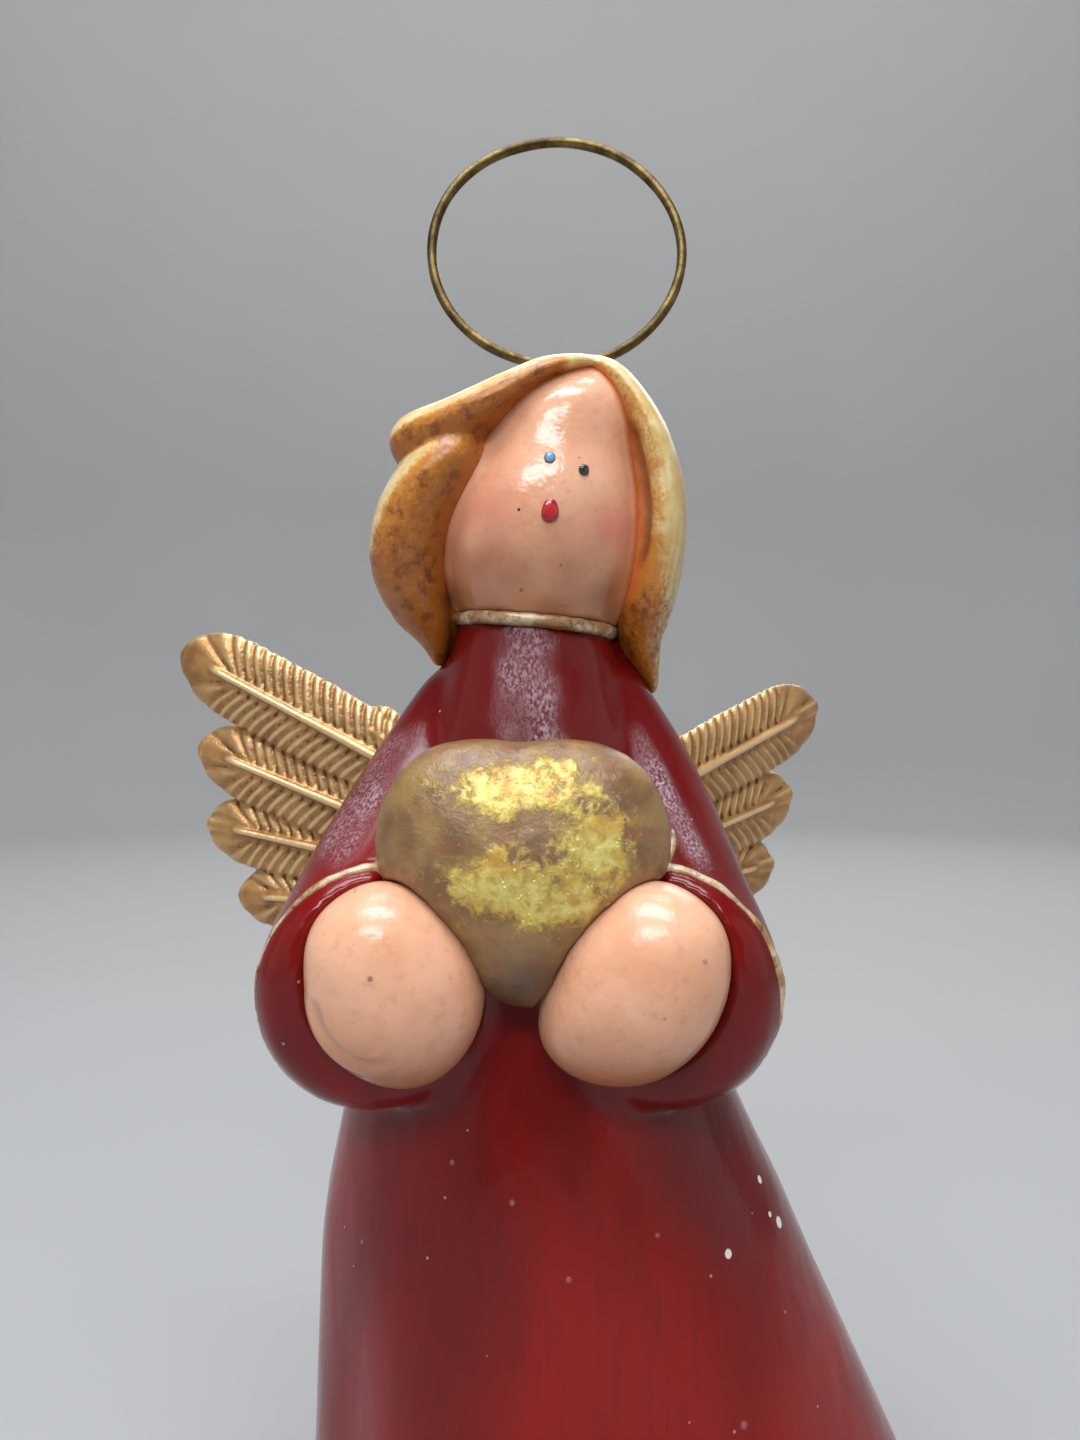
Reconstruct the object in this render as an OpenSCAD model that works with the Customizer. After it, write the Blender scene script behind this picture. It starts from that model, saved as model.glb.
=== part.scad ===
// Standing angel ornament: a hollow glazed robe with applied sleeves, hands, heart, head and
// hair, a pair of cast feather wings on the back, and a wire halo in a drilled hole.
// Left and right are the figure's own: its left side is +X, and it faces -Y.

/* [Robe] */
// Height of the robe from the foot to the collar seat
robe_h = 143; // [136:1:150]
// Reach of the wind-blown train towards +X at the hem
train_reach = 62; // [56:1:66]
// Reach of the hem towards -X
hem_reach = 33; // [30:1:36]
// Wall thickness of the hollow casting
wall_t = 3.4; // [3:0.2:4]
// Depth of the soft vertical folds at the hem, as a share of the width
fold_depth = 0.03; // [0:0.005:0.04]
// Tilt of the collar towards +X
neck_lean = 5; // [0:0.5:7]

/* [Head] */
// Height of the head above the collar
head_h = 33.4; // [31:0.2:35]
// Width of the head at the cheeks
head_w = 27.4; // [26:0.2:28]
// How far the top of the head leans towards +X beyond the neck
head_lean = 4.4; // [3:0.2:5]

/* [Arms and heart] */
// Distance of each cuff's centre from the middle plane
cuff_x = 16.2; // [15.8:0.2:16.8]
// Outer radius of the cuff
cuff_r = 14.8; // [14.2:0.2:15.2]
// Long diameter of a hand
hand_l = 24.4; // [23:0.2:25]
// Short diameter of a hand
hand_w = 19.6; // [18.6:0.2:20]
// Width of the heart
heart_w = 34; // [32:0.5:36]
// Height of the heart
heart_h = 32.6; // [30:0.5:33]

/* [Wings] */
// Length of the longest feather
feather_l = 62; // [58:1:64]
// Thickness of one feather
feather_t = 1.8; // [1.6:0.1:2.2]
// Angle that the wings are swept back from the side
wing_sweep = 29; // [24:1:32]
// Turn of the glued-on pair of wings about the upright axis
wing_skew = 9; // [0:1:10]

/* [Halo] */
// Outer diameter of the wire ring
halo_d = 40.6; // [36:0.2:42]
// Diameter of the halo wire
wire_d = 1.6; // [1.4:0.1:1.8]
// Angle that the ring leans back from upright
halo_lean = 10.5; // [5:0.5:20]

/* [Base] */
// Thickness of the felt under the foot
felt_t = 1; // [0.8:0.1:1.5]

/* [Hidden] */
$fn = 48;

// The two sides, by the sign of X
left = 1;
right = -1;

// Clearance of every glued peg and spigot in its hole
fit = 0.1;

// Paint colours
robe_red = [0.45, 0.03, 0.04];
skin_pink = [0.88, 0.6, 0.48];
hair_ochre = [0.78, 0.55, 0.25];
trim_gold = [0.72, 0.58, 0.38];
leaf_gold = [0.62, 0.5, 0.22];
wing_gold = [0.66, 0.5, 0.3];
old_brass = [0.42, 0.34, 0.16];
felt_green = [0.1, 0.2, 0.13];

// ---- smooth curves through a few stations ----

function catmull(a, b, c, d, t) =
    0.5 * (2 * b + (c - a) * t + (2 * a - 5 * b + 4 * c - d) * t * t
        + (3 * b - a - 3 * c + d) * t * t * t);

// The stations' value at share s of the way from the first to the last.
function along(stations, s) =
    let (n = len(stations) - 1, u = s * n, i = min(floor(u), n - 1))
    catmull(stations[max(i - 1, 0)], stations[i], stations[i + 1],
        stations[min(i + 2, n)], u - i);

function unit(v) = v / norm(v);
function place(v) = [v[0], v[1], v[2]];
function smooth_step(t) = let (u = min(max(t, 0), 1)) u * u * (3 - 2 * u);

// Shares from 0 to 1, closer together at both ends.
function eased(k, count) = (1 - cos(180 * k / count)) / 2;

// How wide a sweep is at share s, when each round end takes the share cap.
function dome(s, cap) =
    s < cap ? sqrt(1 - pow(1 - s / cap, 2))
    : s > 1 - cap ? sqrt(1 - pow(1 - (1 - s) / cap, 2)) : 1;

// Faces between consecutive rings, and the fans that close them.
function band_faces(rings, sides, first = 0) = [
    for (k = [0 : rings - 2]) for (j = [0 : sides - 1])
        let (a = first + k * sides + j, b = first + k * sides + (j + 1) % sides)
        each [[a, a + sides, b + sides], [a, b + sides, b]]
];
function low_fan(pole, first, sides) = [
    for (j = [0 : sides - 1]) [pole, first + j, first + (j + 1) % sides]
];
function high_fan(pole, first, sides) = [
    for (j = [0 : sides - 1]) [pole, first + (j + 1) % sides, first + j]
];
function turned(faces) = [for (f = faces) [f[2], f[1], f[0]]];

// A tapered form swept along stations [x, y, z, half width, half depth], with round ends.
// The depth direction stays as near to deep as the path allows.
module sweep(stations, deep, rings = 22, sides = 24, cap = 0.2) {
    function frame_at(s) =
        let (t = unit(place(along(stations, min(s + 0.01, 1)))
                - place(along(stations, max(s - 0.01, 0)))),
            wide = unit(cross(deep, t)))
        [wide, cross(t, wide)];
    points = [
        for (k = [1 : rings - 1])
            let (s = eased(k, rings), c = along(stations, s), f = frame_at(s), d = dome(s, cap))
            for (j = [0 : sides - 1])
                place(c) + f[0] * c[3] * d * cos(360 * j / sides)
                    + f[1] * c[4] * d * sin(360 * j / sides)
    ];
    low = len(points);
    polyhedron(
        concat(points, [place(along(stations, 0)), place(along(stations, 1))]),
        concat(band_faces(rings - 1, sides), low_fan(low, 0, sides),
            high_fan(low + 1, (rings - 2) * sides, sides)));
}

// Joined clay fires into one skin, so its facets are merged as one mesh.
module one_skin() {
    resize([0, 0, 0]) union() children();
}

// ---- robe ----

neck_r = 10.6;
neck_x = 2.2;
neck_hole_l = 17;
spigot_r = 5.5;
spigot_l = 9;

// Stations from hem to collar: [share of the height, -X reach, +X reach, front, back],
// where a reach is measured from the upright line through the neck.
robe_stations = [
    [0, hem_reach, train_reach, 34, 31],
    [0.11, hem_reach - 2.6, train_reach * 0.89, 32.4, 29],
    [0.22, hem_reach - 4, train_reach * 0.785, 30.6, 27],
    [0.33, hem_reach - 4.4, 41.4, 28.8, 25],
    [0.44, hem_reach - 4.6, 34.2, 26.8, 23.4],
    [0.54, 26.2, 28.2, 24.8, 21.8],
    [0.64, 23.4, 24.6, 22.4, 20],
    [0.74, 20.8, 21.6, 19.8, 18],
    [0.83, 18.2, 18.4, 17, 15.8],
    [0.91, 15, 15, 14, 13.6],
    [0.965, 12, 12, 11.7, 11.6],
    [1, neck_r, neck_r, neck_r, neck_r]
];
robe_rings = 28;
robe_sides = 40;
cavity_rings = 12;
cavity_top = 0.84;
fold_count = 7;
fold_twist = 140;
lean_start = 0.7;
felt_inset = 0.6;

function robe_station(h) =
    let (n = len(robe_stations),
        i = max([for (k = [0 : n - 2]) if (h >= robe_stations[k][0]) k]),
        a = robe_stations[i], b = robe_stations[i + 1])
    catmull(robe_stations[max(i - 1, 0)], a, b, robe_stations[min(i + 2, n - 1)],
        (h - a[0]) / (b[0] - a[0]));

function folds(h, a) = 1 + fold_depth * pow(1 - h, 2) * cos(fold_count * a + fold_twist * h);

// One point of the robe: share h of the height, direction a, and the inset from the outer face.
function robe_point(h, a, inset) =
    let (r = robe_station(h), f = folds(h, a),
        x = ((cos(a) < 0 ? r[1] : r[2]) - inset) * f * cos(a),
        y = ((sin(a) < 0 ? r[3] : r[4]) - inset) * f * sin(a),
        tilt = neck_lean * smooth_step((h - lean_start) / (1 - lean_start)))
    [neck_x + x * cos(tilt), y, felt_t + h * robe_h - x * sin(tilt)];

outer_skin = [
    for (k = [0 : robe_rings]) for (j = [0 : robe_sides - 1])
        robe_point(k / robe_rings, 360 * j / robe_sides, 0)
];
collar_z = felt_t + robe_h;
last_ring = robe_rings * robe_sides;

// The robe's outer form without its cavity, which every applied piece sits against.
module robe_solid() {
    n = len(outer_skin);
    polyhedron(concat(outer_skin, [[neck_x, 0, felt_t], [neck_x, 0, collar_z]]),
        concat(band_faces(robe_rings + 1, robe_sides), low_fan(n, 0, robe_sides),
            high_fan(n + 1, last_ring, robe_sides)));
}

module robe_casting() {
    cavity = [
        for (k = [0 : cavity_rings]) for (j = [0 : robe_sides - 1])
            robe_point(cavity_top * k / cavity_rings, 360 * j / robe_sides, wall_t)
    ];
    first = len(outer_skin);
    top = first + len(cavity);
    rim = [
        for (j = [0 : robe_sides - 1])
            let (a = j, b = (j + 1) % robe_sides)
            each [[a, b, first + b], [a, first + b, first + a]]
    ];
    polyhedron(
        concat(outer_skin, cavity,
            [[neck_x, 0, collar_z], [neck_x, 0, felt_t + cavity_top * robe_h + wall_t]]),
        concat(band_faces(robe_rings + 1, robe_sides), high_fan(top, last_ring, robe_sides),
            turned(band_faces(cavity_rings + 1, robe_sides, first)),
            turned(high_fan(top + 1, first + cavity_rings * robe_sides, robe_sides)), rim));
}

// Puts its children at the collar seat, with +Z along the leaning neck.
module neck_frame() {
    translate([neck_x, 0, collar_z]) rotate([0, neck_lean, 0]) children();
}

module robe_body() {
    color(robe_red) difference() {
        robe_casting();
        neck_frame() translate([0, 0, -neck_hole_l]) cylinder(r = spigot_r + fit, h = neck_hole_l + 1);
        for (side = [left, right]) wing_frame(side) wing_peg(peg_r + fit);
    }
}

module base_felt() {
    color(felt_green) linear_extrude(felt_t)
        polygon([
            for (j = [0 : robe_sides - 1])
                let (p = robe_point(0, 360 * j / robe_sides, felt_inset)) [p[0], p[1]]
        ]);
}

// ---- collar and head ----

collar_t = 1.8;

module collar_band() {
    color(trim_gold) neck_frame() rotate_extrude() difference() {
        union() {
            translate([spigot_r + fit, 0]) square([neck_r - spigot_r - fit, collar_t]);
            translate([neck_r, collar_t / 2]) circle(d = collar_t);
        }
        translate([0, -collar_t]) square([spigot_r + fit, 3 * collar_t]);
    }
}

// Clears the collar out of the hair that hangs over it.
module collar_clear() {
    neck_frame() translate([0, 0, -0.2]) cylinder(r = neck_r + collar_t / 2 + 0.2, h = collar_t + 0.4);
}

cheek_r = head_w / 2;
// Stations from neck to crown, in the neck's frame: [x, y, z, half width, half depth]
head_stations = [
    [0, 0, collar_t, neck_r, neck_r],
    [-0.2, -0.4, collar_t + 0.1 * head_h, cheek_r * 0.91, 12.4],
    [-0.2, -0.6, collar_t + 0.23 * head_h, cheek_r * 0.99, 13.6],
    [-0.1, -0.6, collar_t + 0.37 * head_h, cheek_r, 14.2],
    [0.3, -0.4, collar_t + 0.52 * head_h, cheek_r * 0.93, 14],
    [1.2, -0.2, collar_t + 0.68 * head_h, cheek_r * 0.8, 12.6],
    [0.6 * head_lean, 0, collar_t + 0.84 * head_h, cheek_r * 0.58, 10],
    [head_lean, 0.4, collar_t + head_h, 2, 3]
];
head_rings = 18;
head_sides = 32;

function head_point(s, a) =
    let (c = along(head_stations, s)) [c[0] + c[3] * cos(a), c[1] + c[4] * sin(a), c[2]];

module head_solid() {
    points = [
        for (k = [0 : head_rings]) for (j = [0 : head_sides - 1])
            head_point(sin(90 * k / head_rings), 360 * j / head_sides)
    ];
    n = len(points);
    neck_frame() polyhedron(
        concat(points, [place(head_stations[0]), place(head_stations[7]) + [0, 0, 0.3]]),
        concat(band_faces(head_rings + 1, head_sides), low_fan(n, 0, head_sides),
            high_fan(n + 1, head_rings * head_sides, head_sides)));
}

module head() {
    color(skin_pink) union() {
        head_solid();
        neck_frame() translate([0, 0, -spigot_l]) cylinder(r = spigot_r, h = spigot_l + collar_t + 1);
    }
}

// A raised drop of enamel on the face at height share s, direction a.
module face_drop(s, a, wide, tall) {
    thick = 0.9;
    half = [wide / 2, thick / 2];
    difference() {
        neck_frame() translate(head_point(s, a)) rotate([0, 0, a])
            sweep([for (z = [-0.5, 0, 0.5]) [0, 0, z * tall, half[1], half[0]]],
                [0, 1, 0], rings = 8, sides = 12, cap = 0.5);
        head_solid();
    }
}

module left_eye() { color([0.1, 0.12, 0.14]) face_drop(0.595, -70.4, 1.5, 1.5); }
module right_eye() { color([0.35, 0.5, 0.65]) face_drop(0.624, -91.8, 1.5, 1.5); }
module mouth() { color([0.75, 0.08, 0.1]) face_drop(0.434, -86.2, 2.1, 3); }

// ---- hair ----

module crown_form() {
    sweep([[9, 1.6, 181.4, 5, 6], [7.4, 3, 177.6, 9.4, 11.5], [5.6, 4, 171, 13.6, 14.6],
        [4.2, 4.4, 162, 15.6, 15], [3, 5, 153, 14.5, 13], [2.4, 6, 146, 10.5, 9],
        [2.2, 8, 140.5, 6, 5]], [0, 1, 0], rings = 22, sides = 28, cap = 0.14);
}

module upper_lock_form() {
    sweep([[11, -3, 178.8, 1.6, 4], [7.4, -4, 178.2, 2.2, 6], [3, -5, 176.6, 3, 7.4],
        [-2.3, -5.4, 173.6, 3.6, 8], [-7.6, -5, 171.2, 3.8, 7.6], [-12.6, -4, 169.4, 4.2, 6.6],
        [-16.8, -3, 168.2, 3.8, 5.4]], [0, 1, 0], rings = 22, sides = 20, cap = 0.16);
}

module lower_lock_form() {
    sweep([[-4.4, -5, 168.6, 3.6, 7], [-9.2, -5, 165.4, 4.8, 8], [-13, -4.4, 160.6, 5.4, 8],
        [-14.8, -3.6, 154.2, 5.3, 7.2], [-13.8, -2.4, 148.4, 4.2, 5.8], [-11.4, -1, 143.6, 2.5, 4],
        [-10.8, 0, 139, 1, 2]], [0, 1, 0], rings = 22, sides = 20, cap = 0.14);
}

module side_fall_form() {
    sweep([[9.6, -3, 179.6, 1.8, 4], [13.2, -3.6, 176.8, 2.4, 6.6], [16.8, -3.2, 171, 3, 8.4],
        [18.9, -2, 164, 3.6, 9.4], [19.2, -1, 156.6, 3.9, 9.4], [18, 0, 149.4, 3.9, 8],
        [16.8, 0.6, 144, 3.4, 6], [18, 1, 139.4, 1.7, 3.4], [19, 1.6, 135.4, 0.7, 1.4]],
        [0, 1, 0], rings = 26, sides = 20, cap = 0.1);
}

// The part of the face that no hair covers, in front of a slanting plane.
module face_window() {
    translate([4, -29.4, 160]) rotate([10, 0, 4]) cube([60, 50, 60], center = true);
}

// The crown with its front cut away, which the locks lie against.
module crown_shell() {
    difference() {
        crown_form();
        face_window();
    }
}

module hair_crown() {
    color(hair_ochre) difference() {
        one_skin() difference() {
            crown_shell();
            head_solid();
            robe_solid();
            collar_clear();
        }
        halo_frame() translate([0, 0, -stem_l]) cylinder(d = wire_d + 2 * fit, h = stem_l + 3);
    }
}

module hair_upper_lock() {
    color(hair_ochre) one_skin() difference() {
        upper_lock_form();
        head_solid();
        crown_shell();
    }
}

module hair_lower_lock() {
    color(hair_ochre) one_skin() difference() {
        lower_lock_form();
        head_solid();
        robe_solid();
        crown_shell();
        upper_lock_form();
        collar_clear();
        sleeve_form(right);
    }
}

module hair_side_fall() {
    color(hair_ochre) one_skin() difference() {
        side_fall_form();
        head_solid();
        robe_solid();
        crown_shell();
        upper_lock_form();
        collar_clear();
        sleeve_form(left);
    }
}

// ---- arms and hands ----

wrist_r = 6.5;
wrist_l = 9;
cuff_y = -20.5;
cuff_z = 100.2;
// The arms' middle plane
arms_x = 0.5;
// Turn of the cuff's mouth towards the middle, and its dip below level
cuff_turn = 18;
cuff_dip = 8;
cuff_w = 4.6;
cuff_sides = 36;
trim_w = 1.1;

// How far the upper body leans towards +X at height z.
function lean_at(z) = arms_x + (neck_x - arms_x) * smooth_step((z - cuff_z) / 32);

// Puts its children at a cuff, with +Z out of the sleeve.
module cuff_frame(side) {
    translate([arms_x + side * cuff_x, cuff_y, cuff_z]) rotate([0, 0, -side * cuff_turn])
        rotate([90 + cuff_dip, 0, 0]) children();
}

module sleeve_form(side) {
    out = [-side * sin(cuff_turn), -cos(cuff_turn), -sin(cuff_dip)];
    cuff_c = [arms_x + side * cuff_x, cuff_y, cuff_z];
    upper = [[7.4, 0.6, 140.4, 3.4, 4], [9.6, -0.4, 134.6, 5.6, 6.4], [12.4, -2.8, 126, 7.6, 8.8],
        [14.8, -7, 116.6, 9.9, 11], [16.2, -12.4, 108, 12.4, 13]];
    sweep([
        for (s = upper) [side * s[0] + lean_at(s[2]), s[1], s[2], s[3], s[4]],
        for (reach = [-2, 8]) [each cuff_c + reach * out, cuff_r, cuff_r]
    ], [1, 0, 0], rings = 24, sides = 28, cap = 0.16);
}

// Everything in front of a cuff's mouth.
module past_cuff(side) {
    cuff_frame(side) cylinder(r = 30, h = 30);
}

module sleeve(side) {
    color(robe_red) difference() {
        one_skin() difference() {
            sleeve_form(side);
            robe_solid();
            past_cuff(side);
        }
        cuff_frame(side) translate([0, 0, -wrist_l]) cylinder(r = wrist_r + fit, h = wrist_l + 1);
    }
}

module cuff_trim(side) {
    color(trim_gold) one_skin() difference() {
        cuff_frame(side) rotate_extrude($fn = cuff_sides) {
            translate([wrist_r + fit, 0]) square([cuff_r - wrist_r - fit, trim_w]);
            translate([cuff_r, trim_w / 2]) circle(d = trim_w, $fn = 16);
        }
        robe_solid();
    }
}

module cuff(side) {
    color(robe_red) one_skin() difference() {
        cuff_frame(side) translate([0, 0, trim_w]) rotate_extrude($fn = cuff_sides)
            translate([wrist_r + fit, 0]) intersection() {
                square([cuff_r - wrist_r - fit, cuff_w]);
                hull() {
                    translate([cuff_r - cuff_w - wrist_r - fit, 0]) circle(r = cuff_w, $fn = 32);
                    square([1, cuff_w]);
                }
            }
        robe_solid();
        hand_form(side);
        heart_form();
    }
}

// The hand is one fingerless egg, whose long axis leans outwards at the top.
hand_reach = 6.6;
hand_tilt = 30;
hand_depth = 18;
module hand_form(side) {
    girth = [0.46, 0.5, 0.46];
    cuff_frame(side) translate([-side * 0.4, 2.7, hand_reach]) rotate([0, 0, -side * hand_tilt])
        sweep([for (k = [0 : 2]) [0, (k - 1) * hand_l / 2, 0, hand_w * girth[k], hand_depth * girth[k]]],
            [0, 0, 1], rings = 18, sides = 26, cap = 0.5);
}

module hand(side) {
    color(skin_pink) union() {
        one_skin() difference() {
            hand_form(side);
            robe_solid();
        }
        cuff_frame(side) translate([0, 0, 0.5 - wrist_l]) cylinder(r = wrist_r, h = wrist_l + 2);
    }
}

// ---- heart ----

heart_c = [0.7, -24.6, 114.8];
heart_front = 9;
heart_back = 7;
cuff_clear_l = 8;
heart_rings = 9;
heart_sides = 36;
// Outline radii at equal turns from the cleft round to the tip, as shares of half the width
heart_radii = [0.9, 0.96, 1.04, 1.08, 1.06, 1.02, 0.97, 0.9, 0.83, 0.81, 0.84, 0.93, 1];

function heart_edge(a) =
    let (turn = a > 180 ? 360 - a : a, r = along(heart_radii, turn / 180) * heart_w / 2)
    [r * sin(a), 0, r * cos(a) * heart_h / heart_w];

module heart_form() {
    function layer(t, bulge) = [
        for (j = [0 : heart_sides - 1])
            heart_c + heart_edge(360 * j / heart_sides) * sin(t) + [0, bulge * cos(t), 0]
    ];
    points = [
        for (k = [1 : heart_rings]) each layer(90 * k / heart_rings, -heart_front),
        for (k = [heart_rings - 1 : -1 : 1]) each layer(90 * k / heart_rings, heart_back)
    ];
    n = len(points);
    polyhedron(
        concat(points, [heart_c - [0, heart_front, 0], heart_c + [0, heart_back, 0]]),
        concat(band_faces(2 * heart_rings - 1, heart_sides), low_fan(n, 0, heart_sides),
            high_fan(n + 1, (2 * heart_rings - 2) * heart_sides, heart_sides)));
}

module heart() {
    color(leaf_gold) one_skin() difference() {
        heart_form();
        robe_solid();
        for (side = [left, right]) {
            hand_form(side);
            cuff_clear(side);
        }
    }
}

// The end of the sleeve with the trim on it, and a little room.
module cuff_clear(side) {
    cuff_frame(side) translate([0, 0, -cuff_clear_l])
        cylinder(r = cuff_r + trim_w / 2 + 0.3, h = cuff_clear_l + trim_w);
}

// ---- wings ----

wing_c = [2, 17, 115.8];
wing_apart = 8;
wing_roll = 2.6;
wing_rise = 1.7;
peg_r = 2;
peg_l = 3.4;
feather_step = 1.1;
// Feathers from the front one back: [root height, angle above level, share of the length, width]
feathers = [
    [0, 22.4, 1, 14.4],
    [-8.1, 16.2, 0.89, 13.2],
    [-11.4, 6.2, 0.82, 12.6],
    [-15, -3.6, 0.7, 11.4]
];
// The short covert that shows as a bump above the first feather
covert = [0.4, 30, 0.44, 9];

// Puts its children at a wing's root: +X outwards, +Y up, +Z towards the front.
module wing_frame(side) {
    translate(wing_c + [side * wing_apart, 0, -side * wing_rise])
        rotate([0, 0, side * (wing_sweep + side * wing_skew)])
        mirror([side < 0 ? 1 : 0, 0, 0]) rotate([90, 0, 0])
        rotate([0, 0, -side * wing_roll]) children();
}

function feather_half(u, width) =
    width / 2 * (0.45 + 0.55 * sin(90 * min(u / 0.62, 1)))
        * (u < 0.8 ? 1 : sqrt(max(0, 1 - pow((u - 0.8) / 0.2, 2))));

// A flat vane with a raised shaft; lag is how much it falls short of its share.
module feather(spec, lag = 0) {
    steps = 22;
    length = spec[2] * feather_l - lag;
    shares = [for (k = [0 : steps]) sin(90 * k / steps)];
    translate([0, spec[0], 0]) rotate([0, 0, spec[1]]) {
        linear_extrude(feather_t) polygon([
            for (u = shares) [u * length, feather_half(u, spec[3])],
            for (k = [steps - 1 : -1 : 0]) [shares[k] * length, -feather_half(shares[k], spec[3])]
        ]);
        translate([0, 0, feather_t]) rotate([0, 90, 0]) cylinder(r1 = 1, r2 = 0.6, h = length * 0.88);
    }
}

module wing_peg(r) {
    translate([0, -6, -feather_t]) cylinder(r = r, h = peg_l + feather_t);
}

// The figure's left wing is cast a little shorter, more so towards its lower feathers.
function wing_lag(side, i) = side * (0.6 + 0.9 * i);

module wing_form(side) {
    wing_frame(side) {
        for (i = [0 : len(feathers) - 1])
            translate([0, 0, -i * feather_step - feather_t]) feather(feathers[i], wing_lag(side, i));
        translate([0, 0, -feather_step - feather_t]) feather(covert);
        wing_peg(peg_r);
    }
}

module wing(side) {
    color(wing_gold) wing_form(side);
}

// The bar behind the feathers that joins the two wings into one casting's back.
bridge_r = 5;
bridge_t = 2.2;
bridge_back = 5.8;
bridge_drop = 5;
bridge_span = 12;
module wing_bridge() {
    color(wing_gold) difference() {
        translate(wing_c + [0, bridge_back, -bridge_drop]) rotate([90, 0, 0]) {
            for (side = [left, right]) translate([side * bridge_span / 2, 0, 0])
                cylinder(r = bridge_r, h = bridge_t);
            translate([-bridge_span / 2, -bridge_r, 0]) cube([bridge_span, 2 * bridge_r, bridge_t]);
        }
        for (side = [left, right]) wing_form(side);
    }
}

// ---- halo ----

halo_c = [5.6, 20, 205.7];
stem_l = 12;

// Puts its children at the foot of the ring, with +Z up through the ring's centre.
module halo_frame() {
    translate(halo_c) rotate([-halo_lean, 0, 0]) translate([0, 0, wire_d / 2 - halo_d / 2]) children();
}

module halo_wire() {
    ring_r = (halo_d - wire_d) / 2;
    color(old_brass) halo_frame() union() {
        translate([0, 0, ring_r]) rotate([90, 0, 0]) rotate_extrude($fn = 96)
            translate([ring_r, 0]) circle(d = wire_d, $fn = 32);
        translate([0, 0, 0.5 - stem_l]) cylinder(d = wire_d, h = stem_l);
    }
}

robe_body();
base_felt();
collar_band();
head();
left_eye();
right_eye();
mouth();
hair_crown();
hair_upper_lock();
hair_lower_lock();
hair_side_fall();
sleeve(left);  // left_sleeve
sleeve(right);  // right_sleeve
cuff_trim(left);  // left_cuff_trim
cuff_trim(right);  // right_cuff_trim
cuff(left);  // left_cuff
cuff(right);  // right_cuff
hand(left);  // left_hand
hand(right);  // right_hand
heart();
wing(left);  // left_wing
wing(right);  // right_wing
wing_bridge();
halo_wire();
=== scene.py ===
# The looks of a standing angel ornament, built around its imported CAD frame.
# Forms are worked out in millimetres and become metres when a piece is made.
# +X is the figure's own left, -Y is the way it faces, and +Z is up.
import math

import bmesh
import bpy
import numpy as np
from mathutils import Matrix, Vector, noise
from mathutils.bvhtree import BVHTree
from mathutils.kdtree import KDTree


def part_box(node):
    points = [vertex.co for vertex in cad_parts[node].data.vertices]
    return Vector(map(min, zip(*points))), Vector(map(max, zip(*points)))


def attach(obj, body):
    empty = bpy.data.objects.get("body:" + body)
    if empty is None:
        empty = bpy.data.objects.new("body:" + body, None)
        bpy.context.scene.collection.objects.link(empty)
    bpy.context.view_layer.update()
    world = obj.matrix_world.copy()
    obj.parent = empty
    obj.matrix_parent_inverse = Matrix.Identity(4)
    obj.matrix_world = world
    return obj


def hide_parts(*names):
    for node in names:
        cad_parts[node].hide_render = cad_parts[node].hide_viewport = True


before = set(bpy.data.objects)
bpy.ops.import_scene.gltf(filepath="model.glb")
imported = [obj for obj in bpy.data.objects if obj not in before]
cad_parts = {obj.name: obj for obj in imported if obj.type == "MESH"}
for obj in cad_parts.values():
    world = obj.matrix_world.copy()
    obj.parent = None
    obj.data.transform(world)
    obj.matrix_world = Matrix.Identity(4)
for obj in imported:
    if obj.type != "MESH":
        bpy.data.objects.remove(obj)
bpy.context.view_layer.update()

MM = 0.001
LEFT = 1
RIGHT = -1
SIDES = {LEFT: "left", RIGHT: "right"}
UP = np.array([0.0, 0.0, 1.0])
# Size of the cubes that each form is remeshed with
VOXEL = {"robe": 0.7, "trim": 0.2, "collar": 0.22, "skin": 0.36, "dot": 0.07, "hair": 0.38, "head_skin": 0.5,
         "heart": 0.42, "feather": 0.26, "bar": 0.4, "halo": 0.17, "felt": 0.5}


# ---- arrays and small maths ----

def read(items, field, width, kind=float):
    values = np.empty(len(items) * width, kind)
    items.foreach_get(field, values)
    return values.reshape(-1, width)


def ramp(low, high, x):
    """0 at low and 1 at high, with a soft start and end."""
    t = np.clip((x - low) / (high - low), 0, 1)
    return t * t * (3 - 2 * t)


def unit(v):
    return v / np.linalg.norm(v)


def round_turns(count):
    """Evenly spaced angles once round a circle."""
    return np.linspace(0, 2 * math.pi, count + 1)[:-1]


def bumps(points, size, seed):
    """Soft random heights from about -1 to 1, that change over the length size."""
    shift = np.array([17.1, 5.3, 9.7]) * seed
    return np.array([noise.noise(p) for p in (points / size + shift).tolist()])


def beside_path(points, path):
    """How far each point is to the side of a path of (x, z) places, seen from the front, and how far
    along it."""
    flat, path = points[:, [0, 2]], np.array(path)
    lengths = np.concatenate([[0], np.cumsum(np.linalg.norm(np.diff(path, axis=0), axis=1))])
    best = np.full(len(flat), 1e9)
    side, along = np.zeros(len(flat)), np.zeros(len(flat))
    for i, (a, b) in enumerate(zip(path[:-1], path[1:])):
        way = b - a
        t = np.clip((flat - a) @ way / (way @ way), 0, 1)
        gap = flat - a - t[:, None] * way
        away = np.linalg.norm(gap, axis=1)
        closer = away < best
        best[closer] = away[closer]
        side[closer] = np.copysign(away, way[0] * gap[:, 1] - way[1] * gap[:, 0])[closer]
        along[closer] = (lengths[i] + t * np.linalg.norm(way))[closer]
    return side, along


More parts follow.
